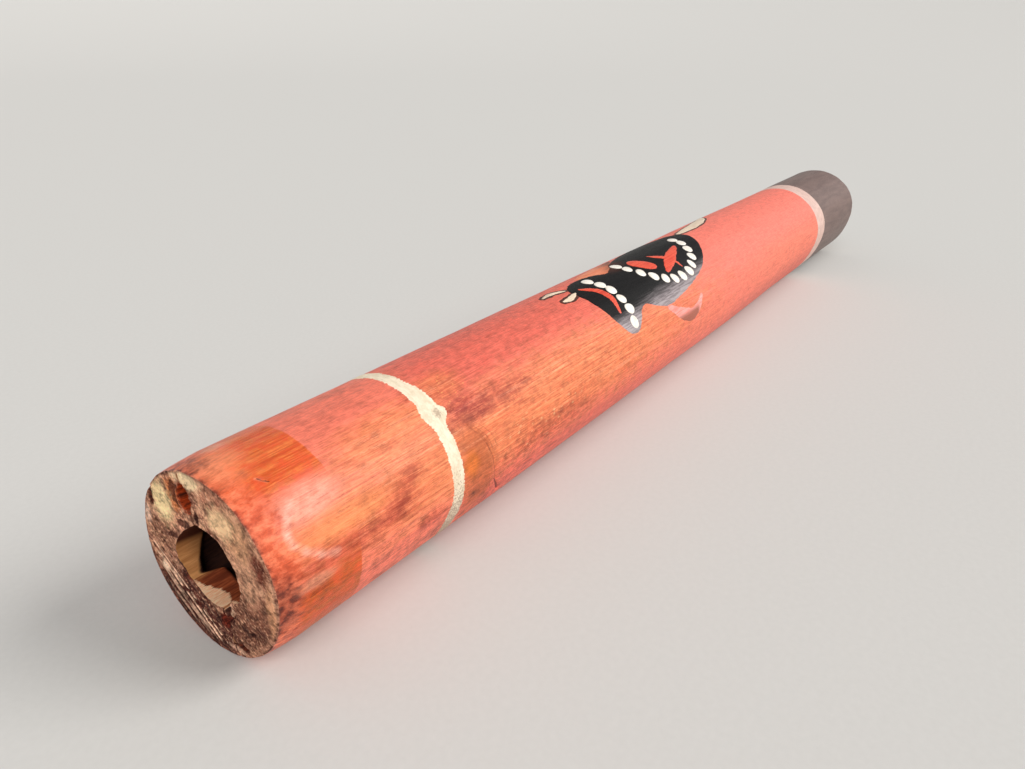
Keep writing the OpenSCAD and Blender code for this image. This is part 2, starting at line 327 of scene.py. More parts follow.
def hollows(h, v):
    """Depth of the void, chips and cracks in the mouth face, in mm."""
    seam = math.radians(LEAN)
    t = h * -math.sin(seam) + v * math.cos(seam)       # up along the joint
    n = h * math.cos(seam) + v * math.sin(seam)        # away from the joint, towards the near half
    edge = 0.28 * fbm(h / 1.6, v / 1.6, 5.5, 61, 3)
    q = np.hypot((n - 0.1) / 2.2, (t - 18.4) / 4.0) + edge
    d = VOID_DEPTH * (1 - smooth(0.45, 1.05, q)) * (0.75 + 0.25 * np.clip(-(n - 0.6) / 1.5, -1, 1))
    q = np.hypot((h + 1.2) / 1.0, (v - 13.9) / 2.2) + edge
    d += 0.9 * (1 - smooth(0.4, 1.1, q))
    for ch, cv, rh, rv, deep in CHIPS:
        q = np.hypot((h - ch) / rh, (v - cv) / rv) + 1.3 * edge
        d += deep * (1 - smooth(0.35, 1.05, q))
    for start, end in zip(FACE_CRACK, FACE_CRACK[1:]):
        dist = line_distance(h, v, start, end)[0] + 0.5 * edge
        d = np.maximum(d, 1.1 * (1 - smooth(0.1, 0.6, dist)))
    line = np.abs(n - 0.35 * np.sin(t * 1.1) * smooth(12, 14, np.abs(t))) + 0.4 * np.abs(edge)
    d = np.maximum(d, 0.55 * (1 - smooth(0.12, 0.55, line)) * smooth(11, 13, np.abs(t)))
    return d


def bell_depth(h, v):
    """How far the sawn bell face lies inside its end plane, in mm."""
    return 0.22 + 0.12 * fbm(h / 2.4, v / 0.9, 9.5, 67, 4) + 0.10 * fbm(h / 6, v / 6, 2.5, 71, 2) \
        + 0.12 * np.sin(v * 1.9 + 0.6 * fbm(h / 9, v / 9, 1.5, 73, 2))


END_FADE = 6.0  # how deep the ends' unevenness reaches into the rows behind them


def sink(x, a, r):
    """The distance along the tube of a point of the body, moved by the unevenness of the nearer end."""
    h, v = face_plane(x, a, r)
    mouth = np.maximum(mouth_depth(h, v) + hollows(h, v), 0.01)
    bell = np.maximum(bell_depth(h, v), 0.01)
    return x + mouth * np.exp(-x / END_FADE) - bell * np.exp(-(LENGTH - x) / END_FADE)


def place(x, a, w, far, recess=0.0):
    """Row-frame point and tube coordinates in the wall: w is 0 on the bore and 1 on the outside."""
    x, a, w = np.broadcast_arrays(x, a, w)
    r0, r1 = bore_r(x, a, far) + 0.05 * recess, skin(x, a) - 0.025 * recess
    r = r0 + (r1 - r0) * w
    x2 = sink(x, a, r) + 0.22 * recess * (np.exp(-x / END_FADE) - np.exp(-(LENGTH - x) / END_FADE))
    return to_row(x2, a, r), np.stack([x2, np.degrees(a) + 0 * x2, r], -1)


def on_skin(x, a, height):
    """Row-frame point and tube coordinates at a height above the wood, no lower than the worn flat."""
    x, a, height = np.broadcast_arrays(x, a, height)
    r = skin(x, a)
    x2 = sink(x, a, r)
    p = to_row(x2, a, r + height)
    p[..., 2] = np.maximum(p[..., 2], 0.06 * MM)
    return p, np.stack([x2, np.degrees(a), r + height], -1)


# ---- meshes
def new_object(name, verts, faces, materials, tube=None, face_slots=None):
    """Smooth-shaded mesh object; tube holds the points' tube coordinates for the materials."""
    mesh = bpy.data.meshes.new(name)
    mesh.from_pydata(np.asarray(verts).tolist(), [], [list(map(int, f)) for f in faces])
    for m in materials:
        mesh.materials.append(m)
    if face_slots is not None:
        mesh.polygons.foreach_set("material_index", np.asarray(face_slots, np.int32))
    mesh.polygons.foreach_set("use_smooth", np.full(len(mesh.polygons), True))
    if tube is not None:
        layer = mesh.attributes.new("tube", "FLOAT_VECTOR", "POINT")
        layer.data.foreach_set("vector", np.asarray(tube, np.float32).ravel())
    mesh.update()
    mesh.set_sharp_from_angle(angle=math.radians(50))
    obj = bpy.data.objects.new(name, mesh)
    bpy.context.scene.collection.objects.link(obj)
    return obj


def add_piece(name, slot_name, *mesh):
    """Piece on the root body, in the place of the frame's node of the same name."""
    piece = new_object(name, *mesh)
    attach(piece, "root")
    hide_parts(name)


def grid_faces(rows, cols, start=0, flip=False):
    """Quads between the points of a grid."""
    i = np.arange(rows - 1)[:, None] * cols + np.arange(cols - 1)[None, :] + start
    quads = np.stack([i, i + 1, i + cols + 1, i + cols], -1).reshape(-1, 4)
    return quads[:, ::-1] if flip else quads


def ring_faces(rings, sides, closed):
    """Quads between rings of points; where closed, the last ring joins the first."""
    i = np.arange(rings if closed else rings - 1)[:, None] * sides
    down = (i + sides) % (rings * sides)
    j = np.arange(sides)[None, :]
    right = (j + 1) % sides
    return np.stack([i + j, down + j, down + right, i + right], -1).reshape(-1, 4)


def weld(parts):
    """Joins grids of (points, tube coordinates, flip, slot) and merges the rows they share."""
    pts, tubes, faces, slots, start = [], [], [], [], 0
    for p, t, flip, slot in parts:
        rows, cols = p.shape[:2]
        pts.append(p.reshape(-1, 3))
        tubes.append(t.reshape(-1, 3))
        f = grid_faces(rows, cols, start, flip)
        faces.append(f)
        slots.append(np.full(len(f), slot))
        start += rows * cols
    pts, tubes, faces, slots = map(np.concatenate, (pts, tubes, faces, slots))
    rounded = np.round(pts * 1e7).astype(np.int64)
    _, first, back = np.unique(rounded, axis=0, return_index=True, return_inverse=True)
    faces = back.reshape(-1)[faces]
    keep = [i for i, f in enumerate(faces) if len(set(f)) == 4]
    return pts[first], tubes[first], faces[keep], slots[keep]


def axial_rows():
    """Places of the points along the tube, closest where the surface has most detail."""
    rows = [0.0]
    for end, step in ((2, 0.4), (32, 0.65), (72, 0.95), (100, 0.7), (LENGTH - 3, 3.2), (LENGTH, 0.5)):
        count = max(1, round((end - rows[-1]) / step))
        rows += list(np.linspace(rows[-1], end, count + 1)[1:])
    return np.array(rows)


# ---- material graphs
def linear(colour):
    """Linear colour from 0 to 255 display values."""
    def one(v):
        v /= 255
        return v / 12.92 if v <= 0.04045 else ((v + 0.055) / 1.055) ** 2.4
    return (*map(one, colour), 1.0)


class Val:
    """A node output that takes arithmetic."""

    def __init__(self, shade, sock):
        self.shade, self.sock = shade, sock

    def __add__(self, o):
        return self.shade.math("ADD", self, o)

    def __sub__(self, o):
        return self.shade.math("SUBTRACT", self, o)

    def __mul__(self, o):
        return self.shade.math("MULTIPLY", self, o)

    def __truediv__(self, o):
        return self.shade.math("DIVIDE", self, o)

    def __abs__(self):
        return self.shade.math("ABSOLUTE", self)


class Shade:
    """One Principled material, the colour laid on it so far, and helpers that add its pattern nodes."""

    def __init__(self, name):
        self.mat = bpy.data.materials.new(name)
        self.mat.use_nodes = True
        self.nodes = self.mat.node_tree.nodes
        self.links = self.mat.node_tree.links
        self.nodes.clear()
        self.bsdf = self.node("BsdfPrincipled")
        self.node("OutputMaterial", Val(self, self.bsdf.outputs[0]))
        self.pos = None

    def put(self, sock, value):
        """Feeds a socket. A tuple is a display colour, 0 to 255."""
        if isinstance(value, Val):
            self.links.new(value.sock, sock)
        elif isinstance(value, tuple):
            sock.default_value = linear(value)
        elif value is not None:
            sock.default_value = value

    def node(self, kind, *values):
        """New node whose first sockets take the values."""
        n = self.nodes.new("ShaderNode" + kind)
        for sock, value in zip(n.inputs, values):
            self.put(sock, value)
        return n

    def math(self, op, a, b=None):
        n = self.node("Math", a, b)
        n.operation = op
        return Val(self, n.outputs[0])

    def clamp(self, v):
        return Val(self, self.node("Clamp", v).outputs[0])

    def length(self, u, v):
        return self.math("SQRT", u * u + v * v)

    def vec(self, x, y, z):
        return Val(self, self.node("CombineXYZ", x, y, z).outputs[0])

    def parts(self, sock):
        return tuple(Val(self, o) for o in self.node("SeparateXYZ", Val(self, sock)).outputs)

    def mm(self):
        """Position in the row frame, in millimetres."""
        if self.pos is None:
            self.pos = [c * 1000 for c in self.parts(self.node("TexCoord").outputs["Object"])]
        return self.pos

    def tube(self, wrap=None):
        """Distance from the mouth in mm, and angle from the top in degrees, less a full turn past wrap."""
        n = self.node("Attribute")
        n.attribute_name = "tube"
        self.x, self.deg, _ = self.parts(n.outputs["Vector"])
        if wrap:
            self.deg = self.deg - self.math("GREATER_THAN", self.deg, wrap) * 360
        return self.x, self.deg

    def noise(self, v, detail, rough, warp=0.0):
        n = self.node("TexNoise", v)
        for name, value in (("Scale", 1.0), ("Detail", detail), ("Roughness", rough), ("Distortion", warp)):
            n.inputs[name].default_value = value
        return Val(self, n.outputs[0])

    def grain(self, along, across, *kind):
        """Noise with along cells per mm lengthwise and across cells crosswise; kind goes to noise."""
        x, y, z = self.mm()
        return self.noise(self.vec(x * along, y * across, z * across), *kind)

    def cells(self, along, across):
        """Distance to the nearest point of a scatter as close as along and across, per mm."""
        x, y, z = self.mm()
        n = self.node("TexVoronoi", self.vec(x * along, y * across, z * across))
        n.inputs["Scale"].default_value = 1.0
        return Val(self, n.outputs["Distance"])

    def step(self, v, low, high, a=0.0, b=1.0):
        """a below low and b above high, smooth between."""
        n = self.node("MapRange", v, low, high, a, b)
        n.interpolation_type = "SMOOTHSTEP"
        return Val(self, n.outputs[0])

    def mix(self, share, a, b, blend="MIX"):
        n = self.node("Mix", share)
        n.data_type = "RGBA"
        n.blend_type = blend
        self.put(n.inputs[6], a)
        self.put(n.inputs[7], b)
        return Val(self, n.outputs[2])

    def lay(self, mask, colour):
        """Lays a colour over the one so far, where the mask is 1."""
        self.colour = self.mix(mask, self.colour, colour)

    def toned(self, colour, value):
        """The colour made lighter or darker by a value near 1."""
        return self.mix(1.0, colour, self.vec(value, value, value), "MULTIPLY")

    def tone(self, value):
        """Makes the colour so far lighter or darker by a value near 1."""
        self.colour = self.toned(self.colour, value)

    def patch(self, x0, d0, rx, rd, soft=0.5, wobble=None):
        """1 inside an oval patch of the tube's surface, 0 outside."""
        d = self.length((self.x - x0) / rx, (self.deg - d0) / rd)
        if wobble is not None:
            d = d + wobble
        return self.step(d, 1 - soft, 1 + soft, 1.0, 0.0)

    def stroke(self, x0, d0, x1, d1, w0, w1, wobble):
        """Soft line on the tube between two (x, degrees) points, in mm half-widths."""
        k = math.radians(R_MEAN)
        dx, dy = x1 - x0, (d1 - d0) * k
        u, v = self.x - x0, (self.deg - d0) * k
        t = self.clamp((u * dx + v * dy) / (dx * dx + dy * dy))
        d = self.length(u - t * dx, v - t * dy) + (wobble - 0.5) * 0.5
        return self.clamp(self.math("SUBTRACT", 1.25, d / (t * (w1 - w0) + w0)))

    def bump(self, height, distance_mm, strength=1.0):
        n = self.node("Bump", strength, distance_mm * MM)
        self.put(n.inputs["Height"], height)
        return Val(self, n.outputs[0])

    def finish(self, roughness, normal=None, specular=0.5, coat=0.0, coat_rough=0.2):
        for name, value in (("Base Color", self.colour), ("Roughness", roughness), ("Normal", normal),
                            ("Specular IOR Level", specular), ("Coat Weight", coat),
                            ("Coat Roughness", coat_rough)):
            self.put(self.bsdf.inputs[name], value)
        return self.mat


# ---- stained outside of the wood
SALMON = (232, 112, 92)
SALMON_FAR = (247, 129, 110)
SALMON_DEEP = (205, 84, 68)
TAN = (242, 148, 96)
TAN_LIGHT = (252, 178, 130)
TAN_DEEP = (222, 112, 62)
RED_BROWN = (165, 52, 38)
ORANGE = (224, 92, 34)
ORANGE_LIGHT = (244, 130, 66)
ORANGE_RED = (206, 76, 40)
DARK_STAIN = (78, 34, 30)
CLEAR_END_X = 26.4  # where the clear-coated mouth zone stops
# x mm, degrees, half-length, half-width in degrees, softness, strength
BARE_SPOTS = [(52, 42, 24, 20, 0.45, 0.9), (76, 28, 9, 13, 0.5, 0.75), (230, 92, 60, 18, 0.7, 0.35),
              (380, 84, 90, 22, 0.8, 0.3)]
# x mm, degrees, half-length, half-width in degrees, strength
SMUDGES = [
    (78, 49, 9, 10, 1.0), (95, 52, 16, 8, 0.6), (48, 64, 4, 5, 0.3), (44, 73, 5, 7, 0.5),
    (40, 79, 5, 5, 0.5), (35, 82, 5, 3, 0.3), (30, 80, 16, 8, 0.5), (54, 101, 6, 6, 0.7),
    (46, 66, 10, 4, 0.35), (118, 92, 26, 9, 0.5), (20, 83, 9, 7, 0.6), (62, 24, 4, 3, 0.3),
    (30, 62, 5, 3, 0.35), (77, 31, 7, 7, 0.3), (13, 80, 6, 7, 0.35), (150, 232, 40, 30, 0.3),
    (330, 205, 60, 26, 0.25)]
KNOT_SIDE = [(77.5, 56), (80.5, 62), (83.5, 70), (85.0, 80)]
KNOT_GAPS = (-3.6, -2.2, 0.0)  # how far each copy of the side crack lies along the tube
KNOT_INNER = [(78.5, 88), (80.5, 97), (82.0, 108), (84.5, 117)]


def wood_patterns(s):
    """Patterns of the wood and its wash, from long streaks to specks."""
    s.streak = s.grain(0.030, 0.75, 5.0, 0.62, 0.4)
    s.lines = s.grain(0.050, 1.7, 4.0, 0.62, 0.2)
    s.fibre = s.grain(0.16, 3.4, 4.0, 0.65)
    s.fine = s.grain(0.65, 7.5, 3.0, 0.7)
    s.blot = s.grain(0.16, 0.22, 5.0, 0.62)
    s.soft = s.grain(0.34, 0.42, 5.0, 0.60)
    s.speck = s.grain(1.3, 1.3, 4.0, 0.68)
    s.wob = (s.streak - 0.5) * 0.9 + (s.blot - 0.5) * 0.8 + (s.soft - 0.5) * 0.5
    s.far = s.step(s.x, 110, 300)
    s.calm = s.far * -0.6 + 1.0


def wash_and_wood(s):
    """Salmon wash, deeper in the pores, and wood that shows where the wash is thin."""
    wood = s.mix(s.step(s.lines * 0.6 + s.fibre * 0.4, 0.36, 0.62), TAN_DEEP, TAN)
    wood = s.mix(s.step(s.streak + (s.fine - 0.5) * 0.5, 0.55, 0.76), wood, TAN_LIGHT)
    s.colour = s.mix(s.far, SALMON, SALMON_FAR)
    s.lay(s.step(s.fine * 0.4 + s.fibre * 0.6, 0.58, 0.40, 0.0, 0.5) * s.calm, SALMON_DEEP)
    s.lay(s.step(s.blot, 0.46, 0.70, 0.0, 0.35) * s.calm, SALMON_DEEP)
    s.lay(s.step(s.x, 78, 60, 0.0, 0.4), (250, 140, 110))
    bare = s.patch(120, 70, 125, 30, 0.55, s.wob)
    for x0, d0, rx, rd, soft, share in BARE_SPOTS:
        bare = s.math("MAXIMUM", bare, s.patch(x0, d0, rx, rd, soft, s.wob) * share)
    cloud = s.grain(0.035, 0.05, 3.0, 0.5)
    hidden = s.step(cloud + (s.streak - 0.5) * 0.5, 0.56, 0.70) * s.step(abs(s.deg), 150, 190, 0.0, 0.6)
    s.bare = s.clamp(s.math("MAXIMUM", bare, hidden) * s.step(s.fibre, 0.30, 0.60, 0.6, 1.0))
    s.lay(s.bare * 0.88, wood)


def smudges(s):
    """Red-brown wash held by rough spots, greener brown round the knot, and pale flecks."""
    held = s.step(s.fine * 0.3 + s.fibre * 0.35 + s.soft * 0.35, 0.42, 0.60, 1.0, 0.45)
    for x0, d0, rx, rd, amount in SMUDGES:
        s.lay(s.patch(x0, d0, rx, rd, 0.6, s.wob) * held * amount, RED_BROWN)
    s.lay(s.patch(75.5, 92, 8, 34, 0.45, s.wob * 0.6) * 0.75, (182, 92, 50))
    s.lay(s.patch(72.5, 82, 3.5, 8, 0.5, s.wob) * 0.6, (226, 118, 34))
    flecks = s.cells(0.30, 0.52) + (s.speck - 0.5) * 0.7 + (s.soft - 0.5) * 0.4
    s.lay(s.patch(112, 84, 24, 12, 0.5, s.wob) * s.step(flecks, 0.10, 0.28, 1.0, 0.0) * 0.5, (255, 204, 150))
    dots = s.cells(0.5, 0.8) + (s.speck - 0.5) * 0.3
    s.lay(s.patch(76, 30, 9, 12, 0.4) * s.step(dots, 0.10, 0.22, 1.0, 0.0) * 0.7, (250, 170, 100))


def clear_end(s):
    """Clear-coated orange wood at the mouth, its edge masked straight round the tube, with a painted
    reflection beside the rim.
    """
    ragged_x = s.x + (s.fibre - 0.5) * 0.6 + (s.fine - 0.5) * 0.5
    s.clear = s.step(ragged_x, CLEAR_END_X - 0.2, CLEAR_END_X + 0.2, 1.0, 0.0)
    thin = s.step(abs(s.deg - 62), 20, 31)
    orange = s.mix(s.step(s.lines * 0.6 + s.streak * 0.5, 0.46, 0.66), ORANGE, ORANGE_LIGHT)
    reddish = s.step(s.soft * 0.5 + s.blot * 0.5 + (s.fine - 0.5) * 0.2, 0.44, 0.64, 0.0, 0.8)
    orange = s.mix(reddish, orange, ORANGE_RED)
    orange = s.mix(s.step(s.deg, 82, 104, 0.0, 0.6), orange, (184, 82, 6))
    orange = s.mix(s.step(s.x, 27.5, 25.2, 0.0, 0.5) * s.step(s.soft, 0.35, 0.6), orange, ORANGE_RED)
    s.lay(s.clear * (thin * 0.78 + 0.22), orange)
    # painted reflection: a pale pink patch on the glossy clear coat
    worn = s.patch(17, 48, 9, 9, 0.5, s.wob * 0.8)
    s.lay(worn * s.step(s.fibre * 0.5 + s.soft * 0.5, 0.35, 0.6, 0.5, 0.9), (246, 156, 130))
    s.lay(s.patch(24, 66, 16, 8, 0.5, s.wob * 0.6) * 0.6, (242, 142, 84))


def mouth_rim(s):
    """Redder and pinker wood close to the face, with dark smears low down and along the edge."""
    s.rim = s.step(s.x + (s.blot - 0.5) * 12 + (s.soft - 0.5) * 6, 5.5, 10.0, 1.0, 0.0)
    pinker = s.step(s.blot * 0.5 + s.soft * 0.5, 0.41, 0.60)
    s.lay(s.rim * 0.85, s.mix(pinker, (220, 86, 48), (238, 126, 88)))
    s.lay(s.patch(7, 2, 6, 16, 0.6, s.wob * 1.4) * 0.6, (244, 150, 106))
    dark = s.patch(2.6, 96, 4.4, 18, 0.6, s.wob) + s.patch(3.0, -12, 4, 12, 0.6, s.wob * 1.5) * 0.75
    dark = dark + s.patch(12, 84, 9, 6, 0.7, s.wob) * 0.15 + s.patch(0.6, 55, 1.6, 55, 0.8, s.wob) * 0.3
    s.lay(s.clamp(dark) * s.step(s.soft, 0.36, 0.58, 1.0, 0.55) * 0.85, DARK_STAIN)
    edge = s.step(s.x + (s.soft - 0.5) * 2.4 + (s.speck - 0.5) * 0.8, 0.8, 1.6, 1.0, 0.0)
    s.lay(edge * 0.7, s.mix(s.step(s.soft, 0.42, 0.58), (104, 48, 38), (188, 112, 86)))


def bead_and_slit(s):
    """Painted highlight along the bead of thick clear coat and in two pale spots by the rim, and a slit near
    the rim with a lifted pale lip.
    """
    # painted highlight along the bead, broken up by the grain
    for (x0, d0), (x1, d1) in zip(GLINT_PATH[1:], GLINT_PATH[2:]):
        rubbed = s.step(s.blot * 0.4 + s.fibre * 0.6, 0.36, 0.58, 0.35, 1.0)
        s.lay(s.stroke(x0, d0, x1, d1, 1.1, 1.5, s.soft) * rubbed * 0.27, (255, 208, 188))
    # painted highlights: two pale spots by the rim
    pale = s.patch(12, 89, 5.5, 3.5, 0.6, s.wob) + s.patch(12, -16, 3, 7, 0.6, s.wob)
    s.lay(s.clamp(pale) * 0.4, (250, 182, 150))
    s.lay(s.stroke(9.9, 24.6, 11.6, 29.0, 0.5, 0.5, s.soft) * 0.4, (246, 160, 120))
    s.lay(s.stroke(10.3, 25.2, 12.1, 29.6, 0.34, 0.26, s.soft) * 0.9, (96, 38, 26))


def knot_cracks(s):
    """Cracks round the knot, broken and faint but for the main one's low end."""
    broken = s.step(s.soft * 0.5 + s.speck * 0.5, 0.46, 0.54, 0.08, 1.0)
    cracks = [(KNOT_PATH, 0.30, 0.55)]
    cracks += [([(x + gap, d) for x, d in KNOT_SIDE], 0.22, 0.42) for gap in KNOT_GAPS]
    cracks += [(KNOT_INNER, 0.2, 0.5)]
    for path, wide, dark in cracks:
        last = len(path) - 1
        widths = [wide * (0.5 + 1.3 * (i / last) ** 2) for i in range(last + 1)]
        for i in range(last):
            line = s.stroke(*path[i], *path[i + 1], widths[i], widths[i + 1], s.speck)
            s.lay(line * broken * dark, (104, 44, 30))
    s.lay(s.stroke(*KNOT_PATH[-3], *KNOT_PATH[-1], 0.2, 0.5, s.speck) * 0.8, (96, 34, 24))


def tones_and_pores(s):
    """Light and dark of the grain over everything, painted shade along the underside towards the bell, and
    dark pores.
    """
    tone = (s.lines - 0.5) * 0.55 + (s.fibre - 0.5) * 0.5 + (s.soft - 0.5) * 0.9
    tone = tone + (s.fine - 0.5) * 0.65 + (s.blot - 0.5) * 0.7
    tone = tone * (s.step(s.deg, 80, 100, 1.0, 1.7) * s.step(s.x, 150, 110) + s.step(s.x, 110, 150))
    # painted shade: the underside darker towards the bell; two more patches are darkened as well
    low = s.step(s.deg, 94, 114) * s.step(s.x, 250, 320) * -0.16
    low = low - s.patch(5, 94, 9, 16, 0.6) * 0.14 - s.patch(76, 34, 10, 20, 0.6) * 0.08
    s.tone(tone * (s.calm * 0.75 + 0.25) + low + 0.97)
    pores = s.grain(0.40, 4.6, 2.0, 0.5)
    s.lay(s.step(pores, 0.62, 0.71, 0.0, 0.32) * s.calm, (150, 48, 30))


def stained_wood(name):
    s = Shade(name)
    s.tube(270.0)
    for layer in (wood_patterns, wash_and_wood, smudges, clear_end, mouth_rim, bead_and_slit, knot_cracks,
                  tones_and_pores):
        layer(s)
    rough = s.step(s.fibre, 0.3, 0.7, 0.56, 0.46)
    rough = rough + s.bare * 0.05 - s.clear * 0.16 + s.rim * 0.05 + s.far * 0.08
    height = (s.fibre * 0.5 + s.fine * 0.3 + s.lines * 0.6 + s.soft * 0.25) * (s.calm * 0.8 + 0.2)
    return s.finish(s.clamp(rough), s.bump(height, 0.20, 0.8), 0.28, 0.06, 0.25)


# ---- sawn ends, bore and joint sides
# right mm, up mm, half-width, half-height, display colour, strength
FACE_TONES = [
    (-12, -15, 15, 10, (88, 42, 33), 0.95), (-2, -20, 14, 6, (80, 36, 29), 0.9),
    (-16, -19, 9, 7, (70, 33, 26), 0.9), (2, -25, 9, 2.2, (78, 40, 32), 0.9),
    (13, -12, 9, 9, (120, 72, 54), 0.9), (20, -6, 5, 6, (134, 82, 62), 0.8),
    (20, 8, 4, 5, (112, 46, 30), 0.9), (16, 4, 3.5, 8, (214, 158, 124), 0.85),
    (14, 14, 5, 6, (222, 164, 122), 0.8), (6, 21.5, 6, 3, (188, 122, 94), 0.7),
    (-18, 3, 6, 5, (150, 98, 74), 0.8), (6.2, -8.8, 1.4, 1.3, (255, 196, 164), 0.9),
    (-10, 9, 4, 3, (226, 158, 126), 0.85), (-10, 17, 3, 5, (222, 124, 66), 0.92),
    (-15.5, 13.5, 4.4, 5.6, (255, 224, 168), 0.97), (-3, 23.6, 5.2, 2.2, (255, 222, 176), 0.97),
    (8.5, 16, 4.8, 4.0, (250, 206, 158), 0.95), (-20.5, -8.6, 1.3, 1.6, (255, 222, 190), 0.9),
    (-24, 7, 1.6, 2.8, (240, 200, 176), 0.85), (6.5, -23.2, 3, 1.0, (226, 178, 150), 0.8),
    (23.5, -4, 1.6, 8, (222, 158, 116), 0.7)]
# the void, and the broken red-brown chips
FACE_CHIPS = [
    (-5.2, 18.2, 2.9, 4.6, (134, 44, 6)), (3.4, -15.6, 1.9, 2.2, (104, 34, 18)),
    (9.6, -21.4, 2.4, 0.9, (88, 36, 20)), (-20.6, 13.6, 1.1, 3.0, (92, 42, 28)),
    (-7.6, -15.6, 1.8, 1.2, (84, 38, 28)), (-9.3, -7.6, 2.4, 1.2, (92, 42, 30))]


PALE = 200  # red and green above which a spot on the mouth face counts as clean pale wood


def end_grain(name):
    """Raw sawn mouth face: pale wood smeared with purple-brown stain, with painted shade darkest down in the
    saw marks and painted highlights on their crests.
    """
    s = Shade(name)
    _, py, pz = s.mm()
    depth, _ = s.tube()
    h, v = py * -1.0, pz - (R_MOUTH - FLAT)
    along, across = saw_frame(h, v)
    drag = s.noise(s.vec(along * 0.16, across * 0.75, 0.0), 6.0, 0.66, 0.5)
    mottle = s.noise(s.vec(h * 0.50, v * 0.50, 3.0), 6.0, 0.70, 0.3)
    pores = s.noise(s.vec(h * 1.25, v * 1.25, 3.0), 3.0, 0.65)
    fuzz = s.noise(s.vec(along * 0.6, across * 2.2, 5.0), 3.0, 0.65)
    wob = (drag - 0.5) * 0.8 + (mottle - 0.5) * 1.6

    def spot(h0, v0, rh, rv, soft=0.45):
        return s.step(s.length((h - h0) / rh, (v - v0) / rv) + wob, 1 - soft, 1 + soft, 1.0, 0.0)

    blotch = s.noise(s.vec(h * 0.30, v * 0.30, 7.0), 4.0, 0.6, 0.4)
    s.colour = s.mix(s.step(drag * 0.5 + blotch * 0.5, 0.42, 0.58), (152, 94, 74), (230, 174, 138))
    plain = s.step(h * 0.9 + v * 0.3, 8, 15, 0.0, 0.6) * s.step(v, -12, -6)
    for h0, v0, rh, rv, tone, amount in FACE_TONES:
        mask = spot(h0, v0, rh, rv)
        s.lay(mask * amount, tone)
        if min(tone[:2]) > PALE:
            plain = s.math("MAXIMUM", plain, mask)
    # stain held in the torn grain, and torn fibres left pale
    torn = s.step(across, -12, 2, 0.7, 1.0)
    fussy = plain * -0.75 + 1.0
    dark = s.step(mottle * 0.5 + drag * 0.25 + blotch * 0.25, 0.50, 0.58)
    s.lay(dark * torn * (plain * -0.45 + 0.75), (96, 48, 40))
    light = s.step(fuzz * 0.6 + pores * 0.4, 0.535, 0.60)
    s.lay(light * fussy * s.step(across, -2, 2, 0.55, 0.15), (236, 184, 146))
    # painted highlight on the crests, and painted shade down in the grooves, where stain settled too
    r = s.length(h, v)
    relief = depth - face_slant(h, v) - s.step(across, -0.8, 0.2, 0.0, 0.30) * s.step(r, 22.5, 26, 1.0, 0.15)
    crest_highlight = s.step(relief, -0.12, -0.34, 0.0, 0.95) * torn * s.step(across, 1.5, 4, 1.0, 0.5)
    s.lay(crest_highlight, (246, 200, 168))
    s.lay(s.step(relief, -0.02, 0.20, 0.0, 0.85) * (plain * -0.6 + 1.0), (66, 27, 22))
    for h0, v0, rh, rv, tone in FACE_CHIPS:
        tone = s.toned(tone, s.step(pores + (drag - 0.5), 0.3, 0.7, 0.55, 1.5))
        s.lay(spot(h0, v0, rh, rv, 0.25) * 0.95, tone)
    # stain line round the rim, with pale fibres lifted along it
    rim = s.step(r + (mottle - 0.5) * 2.0, 25.2, 26.2)
    fibres = s.step(mottle + (pores - 0.5) * 0.5 - s.step(across, -2, 2, 0.0, 0.1), 0.40, 0.60)
    s.lay(rim * 0.6, s.mix(fibres, (100, 48, 37), (214, 152, 122)))
    tone = ((pores - 0.5) * 2.4 + (fuzz - 0.5) * 2.6) * fussy + (mottle - 0.5) * 3.0 + (blotch - 0.5) * 2.6
    s.tone(s.math("MINIMUM", s.math("MAXIMUM", tone + 1.02, 0.4), 1.5))
    height = drag * 0.5 + fuzz * 0.7 + pores * 0.6 + mottle * 0.5
    return s.finish(s.step(pores, 0.3, 0.7, 0.85, 0.6), s.bump(height, 0.6, 1.0), 0.15)


